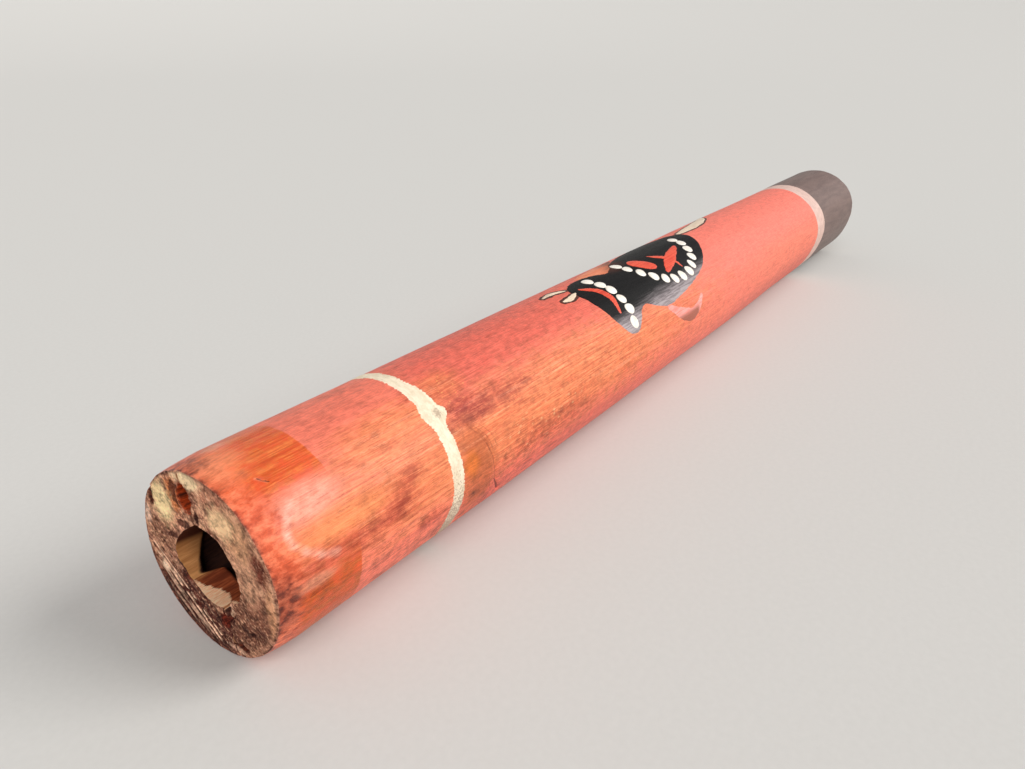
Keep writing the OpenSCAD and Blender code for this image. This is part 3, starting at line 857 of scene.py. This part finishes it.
def bare_bore(name, seed):
    """Gouged wood inside the bore: pale at the cut lip, with painted shade that darkens it deeper in and
    most in the chamber.
    """
    s = Shade(name)
    px, py, pz = s.mm()
    x, deg = s.tube()
    grain = s.noise(s.vec(px * 0.06 + seed, py * 1.1, pz * 1.1), 5.0, 0.65, 0.3)
    fine = s.noise(s.vec(px * 0.5, py * 4.5, pz * 4.5 + seed), 4.0, 0.7)
    s.colour = s.mix(s.step(grain, 0.34, 0.64), (184, 122, 72), (206, 146, 90))
    s.lay(s.step(fine, 0.45, 0.75, 0.0, 0.35), (140, 84, 48))
    # painted shade under the upper edge of the hole, where the wall lies in shadow
    near = s.step(x, 16, 40, 1.0, 0.0)
    corner = s.step(deg + (grain - 0.5) * 12 + x * 0.8, 269, 282, 0.0, 0.95)
    s.lay(corner * near, (66, 10, 3))
    # painted shade: darker deeper into the bore
    s.tone(s.step(x, 1.5, 8, 1.1, 0.72))
    # stain that ran in over the floor of the lip, and its edge freshly broken and pale
    floor = s.step(abs(deg - 168 + (grain - 0.5) * 30), 50, 62, 1.0, 0.0)
    s.lay(floor * near * 0.9, s.mix(s.step(grain, 0.4, 0.6), (112, 38, 16), (168, 76, 42)))
    ledge = s.step(abs(deg - 186), 0, 40, 5.0, 0.9) + (grain - 0.5) * 4 + (fine - 0.5) * 1.5
    ledge = s.step(x - ledge, -0.3, 0.3, 1.0, 0.0) * floor
    s.lay(ledge, s.mix(s.step(fine, 0.4, 0.6), (255, 184, 140), (255, 218, 178)))
    # painted shade of the chamber, starting deeper under the hole and shallower by its corner, less of it
    # near the bell
    wall = s.step(deg, 226, 274, -3.0, 2.0) - s.step(deg, 320, 345, 0.0, 2.0)
    turn_in = s.step(deg, 219, 229)
    lip = s.step(deg, 150, 165, 0.0, 3.0) * (turn_in * -1.0 + 1.0) + wall * turn_in
    deep = s.step(x + (grain - 0.5) * 2 - lip, 5.4, 6.6) * s.step(x, 440, 505, 1.0, 0.25)
    chamber = s.mix(s.step(grain * 0.6 + fine * 0.4, 0.4, 0.6), (30, 12, 9), (56, 28, 18))
    s.lay(deep, chamber)
    s.tone((fine - 0.5) * 0.6 + (grain - 0.5) * 0.5 + 1.0)
    return s.finish(0.75, s.bump(grain * 0.6 + fine * 0.5, 0.3, 0.5), 0.2)


PITH = (-2.5, 3.0)  # middle of the growth rings on the bell face, across and up from the axis


def bell_grain(name):
    """Sawn bell face: growth rings round the pith, rays and saw marks, with end paint over its rim."""
    s = Shade(name)
    _, py, pz = s.mm()
    h, v = py, pz - (R_BELL - FLAT)
    r = s.length(h, v)
    u, w = h - PITH[0], v - PITH[1]
    reach = s.length(u, w)
    wave = s.noise(s.vec(h * 0.08, v * 0.08, 2.0), 3.0, 0.5)
    rings = s.math("SINE", (reach + (wave - 0.5) * 5) * 3.4)
    rays = s.noise(s.vec(u / reach * 22, w / reach * 22, reach * 0.12), 3.0, 0.6)
    saw = s.noise(s.vec(h * 0.22, v * 2.0, 1.0), 5.0, 0.65)
    pores = s.noise(s.vec(h * 2.4, v * 2.4, 6.0), 4.0, 0.7)
    ragged = s.noise(s.vec(h * 0.3, v * 0.3, 4.0), 4.0, 0.6)
    late_wood = s.step(rings + (pores - 0.5) * 1.5, -0.2, 1.1, 0.0, 0.8)
    s.colour = s.mix(late_wood, (206, 162, 114), (164, 114, 74))
    s.lay(s.step(pores, 0.52, 0.68, 0.0, 0.5), (124, 80, 54))
    s.lay(s.step(r + (ragged - 0.5) * 4, 21.0, 18.6, 0.0, 0.55), (112, 72, 48))
    s.tone((rays - 0.5) * 0.8 + (saw - 0.5) * 0.9 + (wave - 0.5) * 0.6 + 1.0)
    paint = s.step(r + (ragged - 0.5) * 5.5, 26.0, 26.8)
    s.lay(paint, (108, 86, 80))
    return s.finish(0.7, s.bump(saw * 0.6 + pores * 0.5, 0.3, 0.8), 0.3)


def joint_side(name):
    """Planed side of a half-shell, hidden in the joint."""
    s = Shade(name)
    grain = s.grain(0.05, 1.2, 5.0, 0.6)
    s.colour = s.mix(grain, (150, 96, 62), (206, 150, 104))
    return s.finish(0.7, s.bump(grain, 0.2, 0.6), 0.35)


# ---- the two wooden halves
ACROSS = 210  # steps round each half
WALL = 56  # steps through the wall on the end faces
SEAM_GAP = 0.32  # half the glue line's width, in degrees
STAINED = stained_wood("stained_wood")
GRAIN = end_grain("sawn_end_grain")
BELL_GRAIN = bell_grain("sawn_bell_grain")
SIDE = joint_side("planed_joint_side")


def wall_piece(name, a, far, mats, slot_name, recess=0.0):
    """Length of the tube's wall between two angles: stained outside, bore, sawn ends and planed sides."""
    rows, w = axial_rows(), np.linspace(0, 1, WALL + 1)

    def sheet(x, b, share):
        return place(x, b, share, far, recess)
    pts, tube, faces, slots = weld([
        (*sheet(rows[:, None], a[None, :], 1.0), False, 0),
        (*sheet(rows[:, None], a[None, :], 0.0), True, 2),
        (*sheet(0.0, a[None, :], w[:, None]), True, 1),
        (*sheet(LENGTH, a[None, :], w[:, None]), False, 3),
        (*sheet(rows[:, None], a[0], w[None, :]), True, 4),
        (*sheet(rows[:, None], a[-1], w[None, :]), False, 4),
    ])
    add_piece(name, slot_name, pts, faces, mats, tube, slots)


def half_shell(name, far, slot_name):
    """One gouged wooden half, from joint to joint."""
    gap = math.radians(SEAM_GAP)
    start = math.radians(-LEAN) + (math.pi if far else 0)
    mats = (STAINED, GRAIN, bare_bore(name + "_bore", 9.0 * far), BELL_GRAIN, SIDE)
    wall_piece(name, np.linspace(start + gap, start + math.pi - gap, ACROSS + 1), far, mats, slot_name)


half_shell("near_half_shell", False, "stained_wood_near")
half_shell("far_half_shell", True, "stained_wood_far")


# ---- glue and filler in the joint
def dried_glue(name):
    """Brown-stained glue line, with starved patches."""
    s = Shade(name)
    lump = s.grain(0.6, 0.6, 5.0, 0.65)
    pits = s.grain(2.5, 2.5, 3.0, 0.6)
    s.colour = s.mix(s.step(lump, 0.42, 0.60), (104, 60, 42), (168, 122, 88))
    s.lay(s.step(pits, 0.55, 0.7, 0.0, 0.7), (62, 30, 22))
    return s.finish(s.step(lump, 0.3, 0.7, 0.6, 0.4), s.bump(lump + pits * 0.5, 0.3, 0.8), 0.4)


GLUED = dried_glue("dried_glue")


def glue_line(name, middle):
    """Glue from the bore to the outside, a hair below the wood and stained over with it."""
    a = np.radians(middle + np.array([-1, 0, 1]) * (SEAM_GAP + 0.02))
    wall_piece(name, a, False, (STAINED, GLUED, GLUED, GLUED, GLUED), "glue", 1.0)


glue_line("upper_glue_line", -LEAN)
glue_line("lower_glue_line", 180 - LEAN)


def joint_filler():
    """Rough lump pressed into the broken foot of the joint."""
    turn_by, sides, rings = math.radians(-38), 30, 8
    rho = np.linspace(0, 1, rings)[:, None]
    t = np.arange(sides + 1)[None, :] % sides * 2 * math.pi / sides
    lobe = 1 + 0.16 * fbm(np.cos(t) * 1.3, np.sin(t) * 1.3, 0, 83, 3)
    u, w = 1.9 * rho * lobe * np.cos(t), 2.7 * rho * lobe * np.sin(t)
    h = 6.3 + u * math.cos(turn_by) - w * math.sin(turn_by)
    v = -12.2 + u * math.sin(turn_by) + w * math.cos(turn_by)
    grit = fbm(h * 1.6, v * 1.6, 0, 87, 4, 0.6)
    front = 0.80 + 1.1 * rho ** 3 + 0.22 * grit
    back = np.full_like(front, 6.0)
    parts = []
    for x, flip in ((front, False), (back, True)):
        r, a = np.hypot(h, v), np.arctan2(h, v)
        parts.append((to_row(x, a, r), np.stack([x, np.degrees(a), r], -1), flip, 0))
    x = front[-1] + (6.0 - front[-1]) * np.linspace(0, 1, 6)[:, None]
    r, a = np.hypot(h[-1], v[-1]) + 0 * x, np.arctan2(h[-1], v[-1]) + 0 * x
    parts.append((to_row(x, a, r), np.stack([x, np.degrees(a), r], -1), True, 0))
    pts, tube, faces, slots = weld(parts)
    s = Shade("dried_filler")
    grit = s.grain(1.4, 1.4, 5.0, 0.7)
    dust = s.grain(0.5, 0.5, 4.0, 0.6)
    s.colour = s.mix(s.step(dust, 0.40, 0.60), (140, 92, 70), (230, 186, 154))
    s.tone((grit - 0.5) * 2.0 + 1.0)
    mat = s.finish(0.85, s.bump(grit, 0.5, 0.9), 0.3)
    add_piece("joint_filler", "filler", pts, faces, (mat,), tube, slots)


joint_filler()


# ---- painted rings
def brushed(name, base, pale, deep, rough=0.55, stroke_scale=(0.08, 1.5), coat=0.0, height=0.12):
    """Hand-brushed paint: streaks that run round or along the tube, thin places and a little dirt."""
    s = Shade(name)
    streak = s.grain(*stroke_scale, 5.0, 0.6, 0.4)
    grit = s.grain(1.6, 1.6, 4.0, 0.65)
    cloud = s.grain(0.12, 0.12, 4.0, 0.6)
    s.colour = s.mix(s.step(streak, 0.35, 0.62), base, pale)
    s.lay(s.step(cloud * 0.5 + grit * 0.5, 0.50, 0.66, 0.0, 0.6), deep)
    s.tone((grit - 0.5) * 0.35 + (streak - 0.5) * 0.25 + 1.0)
    s.streak, s.grit = streak, grit
    normal = s.bump(streak * 0.6 + grit * 0.5, height, 0.8)
    s.finish(s.step(grit, 0.3, 0.7, rough + 0.08, rough - 0.08), normal, 0.35, coat, 0.2)
    return s


def tinted(s, mask, colour):
    """The brushed paint's material, with another colour brushed in where the mask is 1."""
    s.lay(mask, colour)
    s.put(s.bsdf.inputs["Base Color"], s.colour)
    return s.mat


def ring(name, slot_name, start, end, high, material, steps, rows, seed, wraps_end=False):
    """Closed coat of paint round the tube between two edges, each a function of the angle in degrees."""
    deg = np.arange(steps) * 360 / steps
    a = np.radians(deg)[None, :]
    share = 0.5 - 0.5 * np.cos(np.pi * np.linspace(0, 1, rows))[:, None]
    x0, x1 = start(turn(deg))[None, :], end(turn(deg))[None, :]
    x = x0 + (x1 - x0) * share
    edge = x - x0 if wraps_end else np.minimum(x - x0, x1 - x)
    streaks = 0.016 * fbm(x / 2.2, np.sin(a) * 30, np.cos(a) * 30, seed, 3)
    height = high * (1 - np.exp(-edge / 0.20)) - 0.05 * np.exp(-edge / 0.08) + streaks
    under = x0 + (x1 - x0) * np.array([1.0, 0.5, 0.0])[:, None]
    top, top_tube = on_skin(x, a, height)
    low, low_tube = on_skin(under, a, -0.16)
    pts = np.concatenate([top, low])
    tube = np.concatenate([top_tube, low_tube])
    faces = ring_faces(len(pts), steps, True)
    add_piece(name, slot_name, pts.reshape(-1, 3), faces, (material,), tube.reshape(-1, 3))


def ragged(deg, seed, slow, quick):
    """Uneven edge left by a brush, in mm, at each angle."""
    c, s = np.cos(np.radians(deg)), np.sin(np.radians(deg))
    return slow * fbm(c * 2.2, s * 2.2, 0, seed, 3) + quick * fbm(c * 46, s * 46, 0, seed + 9, 2, 0.8)


def mouth_band_start(deg):
    return BAND_X - 1.5 * bump(deg, 40, 12) - 2.6 * smooth(92, 122, deg) + 0.3 * bump(deg, -8, 20) \
        + ragged(deg, 101, 0.22, 0.42)


def mouth_band_end(deg):
    return BAND_END - 0.7 + 1.6 * bump(deg, 31, 22) + 2.4 * bump(deg, 43, 8) - 1.2 * smooth(95, 122, deg) \
        + ragged(deg, 121, 0.25, 0.48)


def worn_cream():
    """Cream band with a mark on its thick spot, and darker specks that thicken towards the underside."""
    s = brushed("cream_band_paint", (232, 214, 184), (244, 228, 202), (204, 180, 150), 0.62, (0.7, 0.35))
    _, deg = s.tube(180.0)
    mark = s.patch(67.8, 42, 1.2, 3.0, 0.5, (s.grit - 0.5) * 5)
    low = s.step(s.grit + (deg - 95) * 0.006, 0.48, 0.60, 0.0, 0.7)
    return tinted(s, s.math("MAXIMUM", mark * 0.6, low * s.step(deg, 60, 90)), (150, 122, 104))


def bell_band_start(deg):
    return BELL_BAND_X + 0.2 + band_bow(deg) + ragged(deg, 141, 0.4, 0.22)


def bell_band_end(deg):
    return BELL_PAINT_X + 0.5 + band_bow(deg)


def bell_paint_start(deg):
    return BELL_PAINT_X + band_bow(deg) + ragged(deg, 161, 0.5, 0.22)


CREAM_FAR = brushed("pale_band_paint", (212, 178, 166), (222, 190, 178), (198, 160, 148), 0.60, (0.7, 0.35))
GREY_BROWN = brushed("grey_brown_paint", (108, 86, 80), (119, 96, 89), (98, 77, 71), 0.5, (0.04, 0.3), 0.05,
                     0.04)
ring("mouth_band", "cream_band_paint", mouth_band_start, mouth_band_end, 0.10, worn_cream(), 960, 16, 131)
ring("bell_band", "cream_band_paint", bell_band_start, bell_band_end, PAINT - 0.02, CREAM_FAR.mat,
     480, 22, 151)
ring("bell_end_paint", "grey_brown_paint", bell_paint_start, lambda deg: LENGTH + 0 * deg, PAINT + 0.01,
     GREY_BROWN.mat, 420, 56, 171, True)


# ---- painted figure: a grazing animal
def bend(a, b, c, d, t):
    """Point at share t of the smooth line from b to c, which comes from a and goes on to d."""
    square, cube = 2 * a - 5 * b + 4 * c - d, 3 * b - a - 3 * c + d
    return 0.5 * (2 * b + (c - a) * t + square * t * t + cube * t ** 3)


def flat(points):
    """(mm, degrees) points as (mm, mm of arc)."""
    p = np.array(points, float)
    return p * (1, math.radians(R_MEAN))


def curve(points, closed=False, steps=8):
    """Smooth line through (mm, degrees) points, as (mm, mm of arc)."""
    p = flat(points)
    n = len(p)
    pick = (lambda i: p[i % n]) if closed else (lambda i: p[min(max(i, 0), n - 1)])
    line = [bend(pick(i - 1), pick(i), pick(i + 1), pick(i + 2), k / steps)
            for i in range(n if closed else n - 1) for k in range(steps)]
    return np.array(line if closed else line + [p[-1]])


def brush(points, w, grow=0.0):
    """Outline of one brush stroke: blunt ends and a full middle."""
    c = curve(points)
    d = np.gradient(c, axis=0)
    d /= np.linalg.norm(d, axis=1)[:, None]
    c[0] -= d[0] * (grow + 0.4)
    c[-1] += d[-1] * (grow + 0.4)
    t = np.linspace(0, 1, len(c))
    half = w * (0.35 + 0.65 * np.sin(math.pi * t)) + grow
    side = np.stack([-d[:, 1], d[:, 0]], -1) * half[:, None]
    cap = [c[-1] + d[-1] * half[-1] * 0.6]
    foot = [c[0] - d[0] * half[0] * 0.6]
    return np.concatenate([c + side, cap, (c - side)[::-1], foot])


def resample(loop, step):
    """The closed outline with evenly spaced points."""
    closed = np.concatenate([loop, loop[:1]])
    run = np.concatenate([[0], np.cumsum(np.linalg.norm(np.diff(closed, axis=0), axis=1))])
    at = np.linspace(0, run[-1], max(12, int(run[-1] / step)), endpoint=False)
    return np.stack([np.interp(at, run, closed[:, 0]), np.interp(at, run, closed[:, 1])], -1)


def wobbly(loop, amount, seed):
    """The outline with the unevenness of a loaded brush."""
    d = np.roll(loop, -1, 0) - np.roll(loop, 1, 0)
    d /= np.linalg.norm(d, axis=1)[:, None] + 1e-9
    x, y = loop[:, 0], loop[:, 1]
    off = amount * (fbm(x / 4, y / 4, 0, seed, 2) + 0.35 * fbm(x / 0.9, y / 0.9, 0, seed + 5, 2))
    return loop + np.stack([d[:, 1], -d[:, 0]], -1) * off[:, None]


def inside(p, loop):
    """Which points lie inside the outline."""
    q = np.roll(loop, -1, 0)
    x, y = p[:, :1], p[:, 1:]
    crosses = (loop[:, 1] > y) != (q[:, 1] > y)
    at = loop[:, 0] + (y - loop[:, 1]) * (q[:, 0] - loop[:, 0]) / (q[:, 1] - loop[:, 1] + 1e-12)
    return (crosses & (x < at)).sum(1) % 2 == 1


def edge_distance(p, loop):
    """Distance from each point to the outline."""
    q = np.roll(loop, -1, 0) - loop
    d = p[:, None, :] - loop[None]
    t = np.clip((d * q).sum(-1) / (q * q).sum(-1), 0, 1)
    gap = d - t[..., None] * q
    return np.hypot(gap[..., 0], gap[..., 1]).min(1)


def coat(outline, high, seed, amount, step=0.55):
    """Closed film of paint over an outline: (points, tube coordinates, faces)."""
    loop = wobbly(resample(outline, step * 0.8), amount, seed)
    low, top = loop.min(0), loop.max(0)
    gx, gy = np.meshgrid(np.arange(low[0], top[0], step), np.arange(low[1], top[1], step * 0.87))
    gx = gx + (np.arange(len(gx)) % 2)[:, None] * step / 2
    grid = np.stack([gx.ravel(), gy.ravel()], -1)
    grid = grid[inside(grid, loop)]
    grid = grid[edge_distance(grid, loop) > step * 0.45]
    n = len(loop)
    flat_points = [Vector(p) for p in np.concatenate([loop, grid]).tolist()]
    edges = [(i, (i + 1) % n) for i in range(n)]
    found, _, tris, *_ = delaunay_2d_cdt(flat_points, edges, [], 1, 1e-5, False)
    p = np.array([tuple(v) for v in found])
    far_in = edge_distance(p, loop)
    height = high * (1 - np.exp(-far_in / 0.28)) - 0.05 * np.exp(-far_in / 0.06)
    height += 0.012 * fbm(p[:, 0] / 6, p[:, 1] / 0.9, 0, seed + 20, 3) * (far_in > 0.2)
    angle = p[:, 1] / R_MEAN
    top_p, top_t = on_skin(p[:, 0], angle, height)
    low_p, low_t = on_skin(p[:, 0], angle, -0.14)
    count = len(p)
    faces = [tuple(reversed(t)) for t in tris] + [tuple(i + count for i in t) for t in tris]
    used = {(t[k], t[(k + 1) % 3]) for t in tris for k in range(3)}
    faces += [(a, b, b + count, a + count) for a, b in used if (b, a) not in used]
    return np.concatenate([top_p, low_p]), np.concatenate([top_t, low_t]), faces


def film(name, slot_name, material, outlines, high, seed, amount):
    """Piece made of one coat of paint over each outline."""
    pts, tubes, faces, start = [], [], [], 0
    for k, outline in enumerate(outlines):
        p, t, f = coat(outline, high, seed + 40 * k, amount)
        pts.append(p)
        tubes.append(t)
        faces += [tuple(i + start for i in face) for face in f]
        start += len(p)
    add_piece(name, slot_name, np.concatenate(pts), faces, (material,), np.concatenate(tubes))


# outlines and strokes: x mm, degrees from the top
BODY_LINE = [(168, 2), (177, -8), (190, -7), (200, 1), (213, -12), (236, -24), (262, -23), (278, -10),
             (281, 4), (275, 24), (261, 43), (243, 53), (227, 58), (214, 60), (205, 55), (198, 49),
             (193, 51), (189, 59), (183, 66), (176, 61), (171, 44), (168, 22)]
EARS = [[(155, -5), (161, -6), (168, -1)], [(158, 11), (163, 11), (169, 8)]]
EAR_W = 1.6
OUTLINE_W = 1.0
TAIL_LINE = [(281, -7), (294, -8), (308, -11), (322, -18), (334, -30)]
TAIL_W = 3.6
BACK_LINE = [(184, -12), (196, -20), (210, -22), (222, -22), (212, -8), (200, 6), (190, -3)]
LIMB_LINE = [(213, 61), (219, 68), (226, 75), (234, 79), (241, 75), (246, 67)]
LIMB_W = 3.2
RED_STROKES = [([(173, 6), (179, 16), (181, 29), (178, 44)], 2.2),
               ([(230, 32), (238, 25), (247, 18), (259, 10)], 3.2),
               ([(233, 6), (238, 14), (243, 24), (244, 34)], 1.8)]
RED_SPOT = [(215.5, 7), (218, 0), (222, 1), (227, 11), (229, 20), (226, 25), (220, 20)]
COAT = 0.09  # height of the black coat above the wood
UNDER = COAT * 0.7  # height of the thinner coats beside and under it
OVER = 0.17  # height of marks painted over it


def black_coat():
    """Black paint, with a painted grey sheen along the belly and muzzle, laid in as dry-brushed grey."""
    s = brushed("black_paint", (9, 7, 7), (18, 15, 15), (6, 4, 4), 0.5, (0.12, 1.6), 0.0, 0.10)
    s.bsdf.inputs["Specular IOR Level"].default_value = 0.15
    x, deg = s.tube()
    # painted sheen: grey along the belly's lower edge and on the muzzle
    drag = (s.streak - 0.5) * 16 + (s.grit - 0.5) * 10
    belly = s.step(deg + drag * 0.5 + (x - 230) * 0.08, 36, 56) * s.step(x, 190, 206)
    muzzle = s.step(deg + drag * 0.5, 43, 58) * s.step(x, 200, 192)
    grey = s.mix(s.step(s.streak, 0.4, 0.6), (150, 138, 140), (186, 174, 176))
    s.lay(belly * 0.85 + muzzle * 0.92, grey)
    brown = s.patch(206, -8, 10, 12, 0.5, (s.streak - 0.5) * 1.5)
    return tinted(s, brown * 0.6, (84, 34, 14))


def back_coat():
    """Brown paint, darker towards the head."""
    s = brushed("brown_paint", (226, 118, 78), (244, 150, 110), (176, 84, 50), 0.5)
    x, deg = s.tube()
    return tinted(s, s.step(x + (s.streak - 0.5) * 30 + deg * 0.4, 196, 212, 0.0, 0.85), (70, 28, 14))


def limb_coat():
    """Pink-brown paint, dark at its lower end."""
    s = brushed("pink_brown_paint", (244, 136, 122), (255, 172, 162), (216, 106, 92), 0.45, coat=0.1)
    x, deg = s.tube()
    low = s.step(deg + (s.streak - 0.5) * 10, 72, 78) * s.step(x, 243, 239)
    return tinted(s, low * 0.9, (150, 78, 54))


RED = brushed("red_orange_paint", (222, 66, 40), (236, 92, 62), (184, 46, 30), 0.42, coat=0.15)
FIGURE_CREAM = brushed("cream_figure_paint", (230, 204, 176), (246, 226, 200), (180, 150, 128), 0.5)
DARK_BROWN = brushed("dark_brown_paint", (62, 28, 18), (96, 46, 28), (36, 16, 12), 0.5)
DOT_WHITE = brushed("white_dot_paint", (246, 236, 222), (252, 246, 236), (222, 202, 184), 0.34, (0.4, 0.4),
                    0.2)

EAR_STROKES = [brush(line, EAR_W) for line in EARS]
EAR_EDGES = [brush(line, EAR_W, OUTLINE_W) for line in EARS]
TAIL_EDGE = [brush(TAIL_LINE, TAIL_W, OUTLINE_W)]
REDS = [brush(line, wide) for line, wide in RED_STROKES] + [curve(RED_SPOT, True)]
# piece, slot, material, outlines, height, seed, unevenness of the edge
for name, slot_name, material, outlines, high, seed, amount in (
        ("figure_back_patch", "brown_paint", back_coat(), [curve(BACK_LINE, True)], UNDER, 201, 0.5),
        ("figure_ear_outlines", "dark_brown_paint", DARK_BROWN.mat, EAR_EDGES, UNDER, 211, 0.35),
        ("figure_ears", "cream_figure_paint", FIGURE_CREAM.mat, EAR_STROKES, OVER, 221, 0.25),
        ("figure_tail_outline", "dark_brown_paint", DARK_BROWN.mat, TAIL_EDGE, UNDER, 231, 0.35),
        ("figure_tail", "cream_figure_paint", FIGURE_CREAM.mat, [brush(TAIL_LINE, TAIL_W)], OVER, 241, 0.35),
        ("figure_limb", "pink_brown_paint", limb_coat(), [brush(LIMB_LINE, LIMB_W)], UNDER, 251, 0.3),
        ("figure_body", "black_paint", black_coat(), [curve(BODY_LINE, True)], COAT, 261, 0.3),
        ("figure_red_marks", "red_orange_paint", RED.mat, REDS, OVER, 271, 0.3)):
    film(name, slot_name, material, outlines, high, seed, amount)


def dot_places():
    """Middles of the raised dots: a bowed row on the head and a half ellipse on the flank."""
    head = [(180 + 6.5 * math.sin(math.radians(30 + 24 * i)), 1 + 11 * i) for i in range(6)]
    turns = [math.pi * i / 12 for i in range(13)]
    return head + [(238.5 - 28.5 * math.cos(t), -1 + 44 * math.sin(t)) for t in turns]


def raised_dots():
    """Thick dabs of paint, each a little different, with rounded tops."""
    rng = np.random.default_rng(281)
    sides, rings = 26, 7
    t = np.arange(sides) * 2 * math.pi / sides
    share, angle = np.repeat(np.arange(1, rings + 1) / rings, sides), np.tile(t, rings)
    rho = np.concatenate([[0], share, [0]])
    foot = 1 + rings * sides
    dab = [(0, 1 + (j + 1) % sides, 1 + j) for j in range(sides)]
    dab += [tuple(f) for f in ring_faces(rings, sides, False)[:, ::-1] + 1]
    dab += [(foot, foot - sides + j, foot - sides + (j + 1) % sides) for j in range(sides)]
    pts, tubes, faces = [], [], []
    for x0, deg0 in dot_places():
        wide, long_ = 2.7 + rng.normal() * 0.12, 2.85 + rng.normal() * 0.12
        top, spin = 0.52 + rng.normal() * 0.03, rng.uniform(0, math.pi)
        x0, s0 = x0 + rng.normal() * 0.25, math.radians(deg0) * R_MEAN + rng.normal() * 0.25
        lobe = np.tile(1 + 0.05 * np.sin(2 * t + spin) + 0.03 * np.sin(3 * t + 2 * spin), rings)
        x = np.concatenate([[x0], x0 + wide * share * lobe * np.cos(angle), [x0]])
        arc = np.concatenate([[s0], s0 + long_ * share * lobe * np.sin(angle), [s0]])
        height = top * np.sqrt(np.maximum(1 - rho ** 2.3, 0)) + 0.04 * fbm(x / 1.6, arc / 1.6, 0, 283, 2)
        height = np.where(rho > 0.99, -0.06, height)
        height[-1] = -0.12
        p, tube = on_skin(x, arc / R_MEAN, height)
        faces += [tuple(i + len(pts) * len(p) for i in f) for f in dab]
        pts.append(p)
        tubes.append(tube)
    pts, tubes = np.concatenate(pts), np.concatenate(tubes)
    add_piece("figure_dots", "white_dot_paint", pts, faces, (DOT_WHITE.mat,), tubes)


raised_dots()


# ---- floor, light and camera
def sweep(low, high):
    """Profile of the round backdrop between two angles of its curve, in metres."""
    return [(3.0 + 20 * math.sin(t), 20 * (1 - math.cos(t))) for t in np.radians(np.arange(low, high, 1.5))]


def backdrop(name, profile, paper, **seen):
    """Round sheet of paper with a profile of (radius, height); seen switches its visibility to some rays."""
    sides = 96
    turns = [k * 2 * math.pi / sides for k in range(sides)]
    pts = [(r * math.cos(t), r * math.sin(t), z) for r, z in profile for t in turns]
    obj = new_object(name, pts, ring_faces(len(profile), sides, False), (paper,))
    for ray, shown in seen.items():
        setattr(obj, "visible_" + ray, shown)


def stage():
    """Pale round floor that sweeps up far behind, and a high wall above it that only the camera sees."""
    s = Shade("floor_paper")
    px, py, _ = s.mm()
    tooth = s.noise(s.vec(px * 0.5, py * 0.5, 0.0), 3.0, 0.5)
    s.colour = s.mix(tooth, (206, 204, 200), (212, 210, 206))
    paper = s.finish(0.95, None, 0.1)
    level = [(0.0, 0.0), (0.6, 0.0), (1.5, 0.0), (3.0, 0.0)]
    backdrop("floor", level + sweep(1.5, 37), paper)
    backdrop("wall", sweep(36, 73), paper, shadow=False, diffuse=False, glossy=False, transmission=False)


def soft_light(name, towards, watts, spread, colour=(1, 1, 1)):
    """Wide soft light that shines from a direction."""
    lamp = bpy.data.lights.new(name, "SUN")
    lamp.energy, lamp.angle, lamp.color = watts, math.radians(spread), colour
    obj = bpy.data.objects.new(name, lamp)
    obj.rotation_euler = (-Vector(towards)).to_track_quat("-Z", "Y").to_euler()
    bpy.context.scene.collection.objects.link(obj)


CAMERA_AT = (-3.0364, -5.5818, 4.4429)  # in mouth radii from the middle of the mouth, before the tilt
CAMERA_YAW, CAMERA_PITCH = 0.6174, 0.4289  # radians
SENSOR = 36.0  # mm
LENS = 770.0 / 1025.0 * SENSOR


def camera():
    """Camera at the viewing angle, set out from the mouth end and tilted with the tube."""
    flat_way = np.array([math.cos(CAMERA_YAW), math.sin(CAMERA_YAW), 0.0])
    forward = flat_way * math.cos(CAMERA_PITCH) - (0, 0, math.sin(CAMERA_PITCH))
    right = np.array([math.sin(CAMERA_YAW), -math.cos(CAMERA_YAW), 0.0])
    up = np.cross(right, forward)
    c, s = math.cos(LIFT), math.sin(LIFT)
    tilt = np.array([[c, 0, -s], [0, 1, 0], [s, 0, c]])
    pos = tilt @ (np.array(CAMERA_AT) * R_MOUTH) + (-LENGTH / 2, 0, R_MOUTH * c - FLAT)
    axes = np.column_stack([tilt @ right, tilt @ up, -(tilt @ forward), pos * MM])
    cam = bpy.data.cameras.new("camera")
    cam.sensor_width, cam.lens = SENSOR, LENS
    cam.clip_start = 0.005
    obj = bpy.data.objects.new("camera", cam)
    bpy.context.scene.collection.objects.link(obj)
    obj.matrix_world = Matrix([*axes.tolist(), (0, 0, 0, 1)])
    bpy.context.scene.camera = obj


stage()
soft_light("window", (0.50, -0.72, 0.62), 2.1, 32, (1.0, 0.985, 0.965))
soft_light("sheen", (0.88, -0.36, 0.33), 0.15, 40, (0.97, 0.985, 1.0))
soft_light("front", (-0.72, -0.38, 0.66), 1.4, 40, (1.0, 0.99, 0.98))
world = bpy.data.worlds.new("soft_room")
bpy.context.scene.world = world
world.use_nodes = True
world.node_tree.nodes["Background"].inputs[0].default_value = (0.90, 0.91, 0.92, 1)
world.node_tree.nodes["Background"].inputs[1].default_value = 0.40
bpy.context.scene.view_settings.view_transform = "Standard"
camera()
